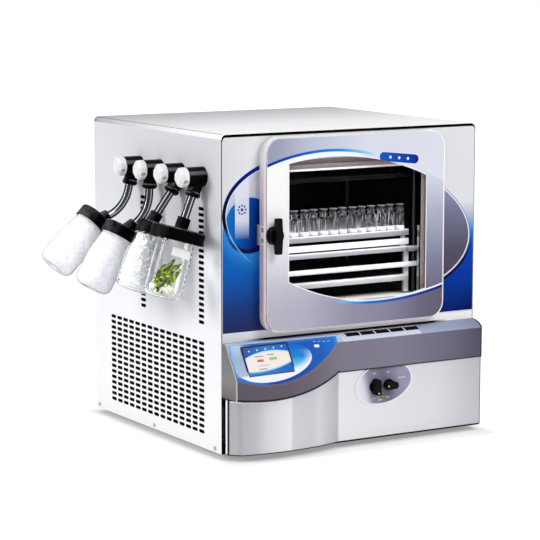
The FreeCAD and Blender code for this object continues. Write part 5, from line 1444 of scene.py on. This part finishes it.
# %% Leaf finish
leaf_green = Finish("leaf_green", Roughness=0.5, Specular_IOR_Level=0.08)
vein_lines = cell_distance(leaf_green, 150.0).between(0.0, 0.12)
leaf_green.tone = leaf_green.ramp(leaf_green.noise(130.0, detail=4.0), (0.38, 4, 22, 0), (0.46, 40, 72, 0),
                                  (0.54, 108, 138, 4), (0.66, 206, 222, 40))
leaf_green.lay(vein_lines.from_(1.0) * 0.2, (186, 206, 40))
leaf_green.use("Base Color", leaf_green.tone)
leaf_green.use("Normal", bumped(leaf_green.tree, vein_lines, 0.5, 0.0006))
print("the leaf finish has", len(leaf_green.tree.nodes), "nodes")

# %% The leaves
glass = flasks["flask_1"]
LEAVES, LEAF_THICK, LEAF_MARGIN, RUFFLE = 19, 0.6 * MM, 1.2 * MM, 5.0 * MM


def kept_inside(point, margin):
    """The point, pulled towards the flask's axis if it would touch the glass."""
    offset = point - glass.rim
    depth = min(max(offset.dot(glass.down), 10 * MM), glass.length - WALL - margin)
    out = offset - glass.down * offset.dot(glass.down)
    room = max(glass.inner_radius(depth) - margin, 0.5 * MM)
    if out.length > room:
        out *= room / out.length
    return glass.rim + glass.down * depth + out


def leaf_blade(root, heading, length, width, curl, dice, points, faces):
    """Add one closed leaf blade to lists of points and faces."""
    steps, across = 16, 8
    heading = heading.normalized()
    spread = heading.cross(Vector((dice.uniform(-0.4, 0.4), -1, dice.uniform(-0.4, 0.4)))).normalized()
    lift = spread.cross(heading).normalized()
    start, seed = len(points), dice.uniform(0, 50)
    for side in (0, 1):
        for step in range(steps + 1):
            share = step / steps
            half = width * (math.sin(math.pi * min(share * 0.92 + 0.06, 1.0)) ** 0.8) / 2 + 0.4 * MM
            for row in range(across + 1):
                turn = row / across * 2 - 1
                ruffle = noise.noise(Vector((share * 6, turn * 2, seed))) * RUFFLE * abs(turn)
                bend = curl * (share ** 2) - abs(turn) * half * 0.35
                point = root + heading * length * share + spread * half * turn + lift * (bend + ruffle)
                points.append(kept_inside(point + lift * (LEAF_THICK / 2 - side * LEAF_THICK), LEAF_MARGIN))
    faces += sheet_faces(start, steps, across)


dice = random.Random(5)
points, faces = [], []
for number in range(LEAVES):
    root = glass.place(0, 0, glass.length - dice.uniform(16, 34) * MM) - Vector((24 * MM, 0, 0))
    root += Vector((dice.uniform(-6, 12), dice.uniform(-22, 16), dice.uniform(-4, 6))) * MM
    heading = Vector((dice.uniform(0.75, 1.15), dice.uniform(-0.25, 0.3), dice.uniform(0.8, 1.2)))
    leaf_blade(root, heading, dice.uniform(40, 74) * MM, dice.uniform(8, 18) * MM,
               dice.uniform(-20, 20) * MM, dice, points, faces)
piece("leaves", points, faces, leaf_green)

# %% [markdown]
# Below the leaves lie a few pale stems, cut short. They are lumps too, but stretched, and cream in colour.

# %% Pale stems
STEMS = 90
stem_pale = mottled("stem_pale", 300.0, (0.35, 0.65), (214, 222, 190), (250, 250, 244), (0.4, 0.0008),
                    detail=3.0, Subsurface_Weight=0.2, Subsurface_Scale=0.003, Roughness=0.4)
points, faces = [], []
for number in range(STEMS):
    size = dice.uniform(4.0, 8.5) * MM
    depth = glass.length - WALL - dice.uniform(7, 27) * MM
    centre = glass.place(glass.inner_radius(depth) * dice.uniform(0.1, 0.75), dice.uniform(2.2, 5.6), depth)
    lump(kept_inside(centre, size * 1.3), size, dice, points, faces)
stems = piece("stems", points, faces, stem_pale)
rounder = stems.modifiers.new("rounder", "SUBSURF")
rounder.levels = rounder.render_levels = 1

# %% [markdown]
# A blank paper label is stuck on the front flask, a little aslant, and fired-on white strokes mark its
# volume. Both are thin patches that follow the glass.

# %% The label and the volume strokes
paper = mottled("label_paper", 900.0, (0.3, 0.7), (246, 247, 250), (254, 254, 255), (0.2, 0.0002), detail=4.0,
                Roughness=0.55)


def wall_patch(corner, across, down, thick, columns, rows, points, faces):
    """Add a closed patch on the glass. The corner is (turn, depth); across and down are (turn, depth)."""
    start = len(points)
    for layer in (0, 1):
        for row in range(rows + 1):
            for column in range(columns + 1):
                turn, depth = [corner[part] + across[part] * column / columns + down[part] * row / rows
                               for part in (0, 1)]
                radius = glass.inner_radius(depth) + WALL + 0.02 * MM + layer * thick
                points.append(glass.place(radius, turn, depth))
    faces += sheet_faces(start, rows, columns)


FRONT, STROKES, FIRST_STROKE, STROKE_STEP = -math.pi / 2 - 0.3, 7, 44, 11
points, faces = [], []
wall_patch((FRONT - 0.25, 25 * MM), (1.15, 4 * MM), (-0.04, 21 * MM), 0.15 * MM, 24, 6, points, faces)
piece("flask_label", points, faces, paper)
points, faces = [], []
for number in range(STROKES):
    corner = (FRONT - 0.55, (FIRST_STROKE + number * STROKE_STEP) * MM)
    wide = 0.2 if number % 3 == 0 else 0.11
    wall_patch(corner, (wide, 0), (0, 0.7 * MM), 0.05 * MM, 5, 1, points, faces)
piece("volume_strokes", points, faces, paper)

# %% [markdown]
# Each vial holds a small dried cake. The vials stand in one node, so their places are read from it: their
# points fall into groups along x with small gaps between them, one group for each vial.

# %% Dried cakes in the vials
VIAL_RADIUS, VIAL_WALL, VIAL_FLOOR, AROUND = 12.5 * MM, 1.2 * MM, 1.5 * MM, 28
PROFILE = ((0.5, 0), (0.95, 0), (0.985, 2), (0.985, 6), (0.95, 7.6), (0.7, 8.0), (0.35, 7.4))
# The cakes give out a painted glow, so that they read white in the dark chamber.
cake = mottled("dried_cake", 700.0, (0.3, 0.7), (232, 233, 236), (254, 254, 254), (0.5, 0.0005),
               roughness=0.7, Roughness=0.7, Emission_Strength=0.22)
cake.use("Emission Color", cake.mix(cake.mottle.between(0.3, 0.7), (220, 221, 224), (254, 254, 254)))
vial_points = sorted((vertex.co.copy() for vertex in nodes["vials"].data.vertices), key=lambda point: point.x)
groups = [[vial_points[0]]]
for before, point in zip(vial_points, vial_points[1:]):
    if point.x - before.x > 0.8 * MM and point.x - groups[-1][0].x > 20 * MM:
        groups.append([])
    groups[-1].append(point)
floor = min(point.z for point in vial_points) + VIAL_FLOOR
points, faces = [], []
for number, group in enumerate(groups):
    middle_x, middle_y = [(min(point[axis] for point in group) + max(point[axis] for point in group)) / 2
                          for axis in (0, 1)]
    middle = Vector((middle_x, middle_y, floor + 0.1 * MM))
    start = len(points)
    points.append(middle.copy())
    for share, height in PROFILE:
        for step in range(AROUND):
            turn = 2 * math.pi * step / AROUND
            radius = (VIAL_RADIUS - VIAL_WALL - 0.1 * MM) * share
            wobble = noise.noise(Vector((math.cos(turn) * 2, math.sin(turn) * 2, number * 7.0)))
            rise = height + (1.2 * wobble if height > 5 else 0)
            points.append(middle + Vector((radius * math.cos(turn), radius * math.sin(turn), rise * MM)))
    points.append(middle + Vector((0, 0, 7.0 * MM)))
    faces.extend(ring_faces(len(PROFILE), AROUND, start))
piece("dried_cakes", points, faces, cake, body="shelf_rack")
print("there are", len(groups), "vials")

# %% [markdown]
# ## The studio
# The machine stands on a wide pale floor that looks white to the camera but still takes a soft shadow: near
# the machine it is mostly a plain painted floor, and farther off it fades into its own white light. The world
# is white to the camera, to reflections and through glass, and a plain level for everything else.

# %% Floor and world
REACH, FLOOR_DROP, FLOOR_GLOW, WORLD_LEVEL = 30.0, 0.5 * MM, 1.2, 0.4
SEEN = ("Is Camera Ray", "Is Glossy Ray", "Is Transmission Ray")


def stage_sheet(name, corners):
    """A four-cornered sheet that belongs to the studio and not to the machine."""
    data = bpy.data.meshes.new(name)
    data.from_pydata(corners, [], [(0, 1, 2, 3)])
    sheet = put_in_scene(name, data)
    return sheet


floor_sheet = stage_sheet("studio_floor", [(-REACH, -REACH, 0), (REACH, -REACH, 0), (REACH, REACH, 0),
                                           (-REACH, REACH, 0)])
floor_sheet.location.z = -FLOOR_DROP
studio_white = Finish("studio_white", Roughness=0.9)
studio_white.use("Base Color", studio_white.mix(studio_white.noise(3.0), (250, 250, 250), (253, 253, 253)))
glow = studio_white.tree.nodes.new("ShaderNodeEmission")
glow.inputs["Strength"].default_value = FLOOR_GLOW
x, y, z = studio_white.place()
from_machine = box_distance(x, y, (0.0, -70.0), (684.0, 616.0), 5.0)
share = from_machine.between(0, 55) * 0.75 + 0.25
blend_in(studio_white, rays(studio_white.tree, *SEEN) * share, glow)
floor_sheet.data.materials.append(studio_white.material)

world = bpy.data.worlds.new("studio")
bpy.context.scene.world = world
world.use_nodes = True
sky = world.node_tree.nodes["Background"]
sky.inputs["Color"].default_value = (1.0, 1.0, 1.0, 1.0)
connect(rays(world.node_tree, *SEEN) * (1.0 - WORLD_LEVEL) + WORLD_LEVEL, sky.inputs["Strength"])
print("the world lights the machine at", WORLD_LEVEL)

# %% [markdown]
# Three soft lamps do the rest: a large one in front and above, one from the left for the flasks, and one
# over the top. Three dark cards, which the camera can't see, give the polished tubes something to mirror.

# %% Lamps and cards


def soft_lamp(name, place, target, size, power):
    data = bpy.data.lights.new(name, "AREA")
    data.shape = "RECTANGLE"
    data.size, data.size_y = size
    data.energy = power
    lamp = put_in_scene(name, data)
    lamp.location = place
    lamp.rotation_euler = (Vector(target) - Vector(place)).to_track_quat("-Z", "Y").to_euler()


def dark_card(name, start, end, height):
    """An upright card from one floor place to another, which only reflections show."""
    card = stage_sheet(name, [(*start, 0.0), (*end, 0.0), (*end, height), (*start, height)])
    card.visible_camera = card.visible_diffuse = card.visible_shadow = card.visible_transmission = False
    finish = Finish(name + "_finish", Roughness=0.9)
    finish.use("Base Color", finish.mix(noise_field(finish.tree, None, 5.0), (10, 10, 12), (16, 16, 18)))
    card.data.materials.append(finish.material)


soft_lamp("front_lamp", (0.6, -2.9, 2.7), (0, 0, 0.35), (1.8, 1.6), 56.0)
soft_lamp("left_lamp", (-2.7, 0.7, 1.5), (-0.2, 0, 0.4), (1.1, 1.1), 40.0)
soft_lamp("top_lamp", (0.2, -0.9, 3.2), (0, 0, 0.5), (1.8, 1.8), 8.0)
dark_card("left_card", (-2.2, -1.6), (-2.4, -0.4), 1.7)
dark_card("side_card", (-2.2, 0.2), (-1.2, 2.2), 1.7)
dark_card("right_card", (1.4, -2.6), (2.4, -1.4), 1.9)
print("three lamps and three cards stand round the machine")

# %% [markdown]
# The picture keeps Blender's plain view transform, so that a colour renders about as it is written.

# %% The view transform
bpy.context.scene.view_settings.view_transform = "Standard"
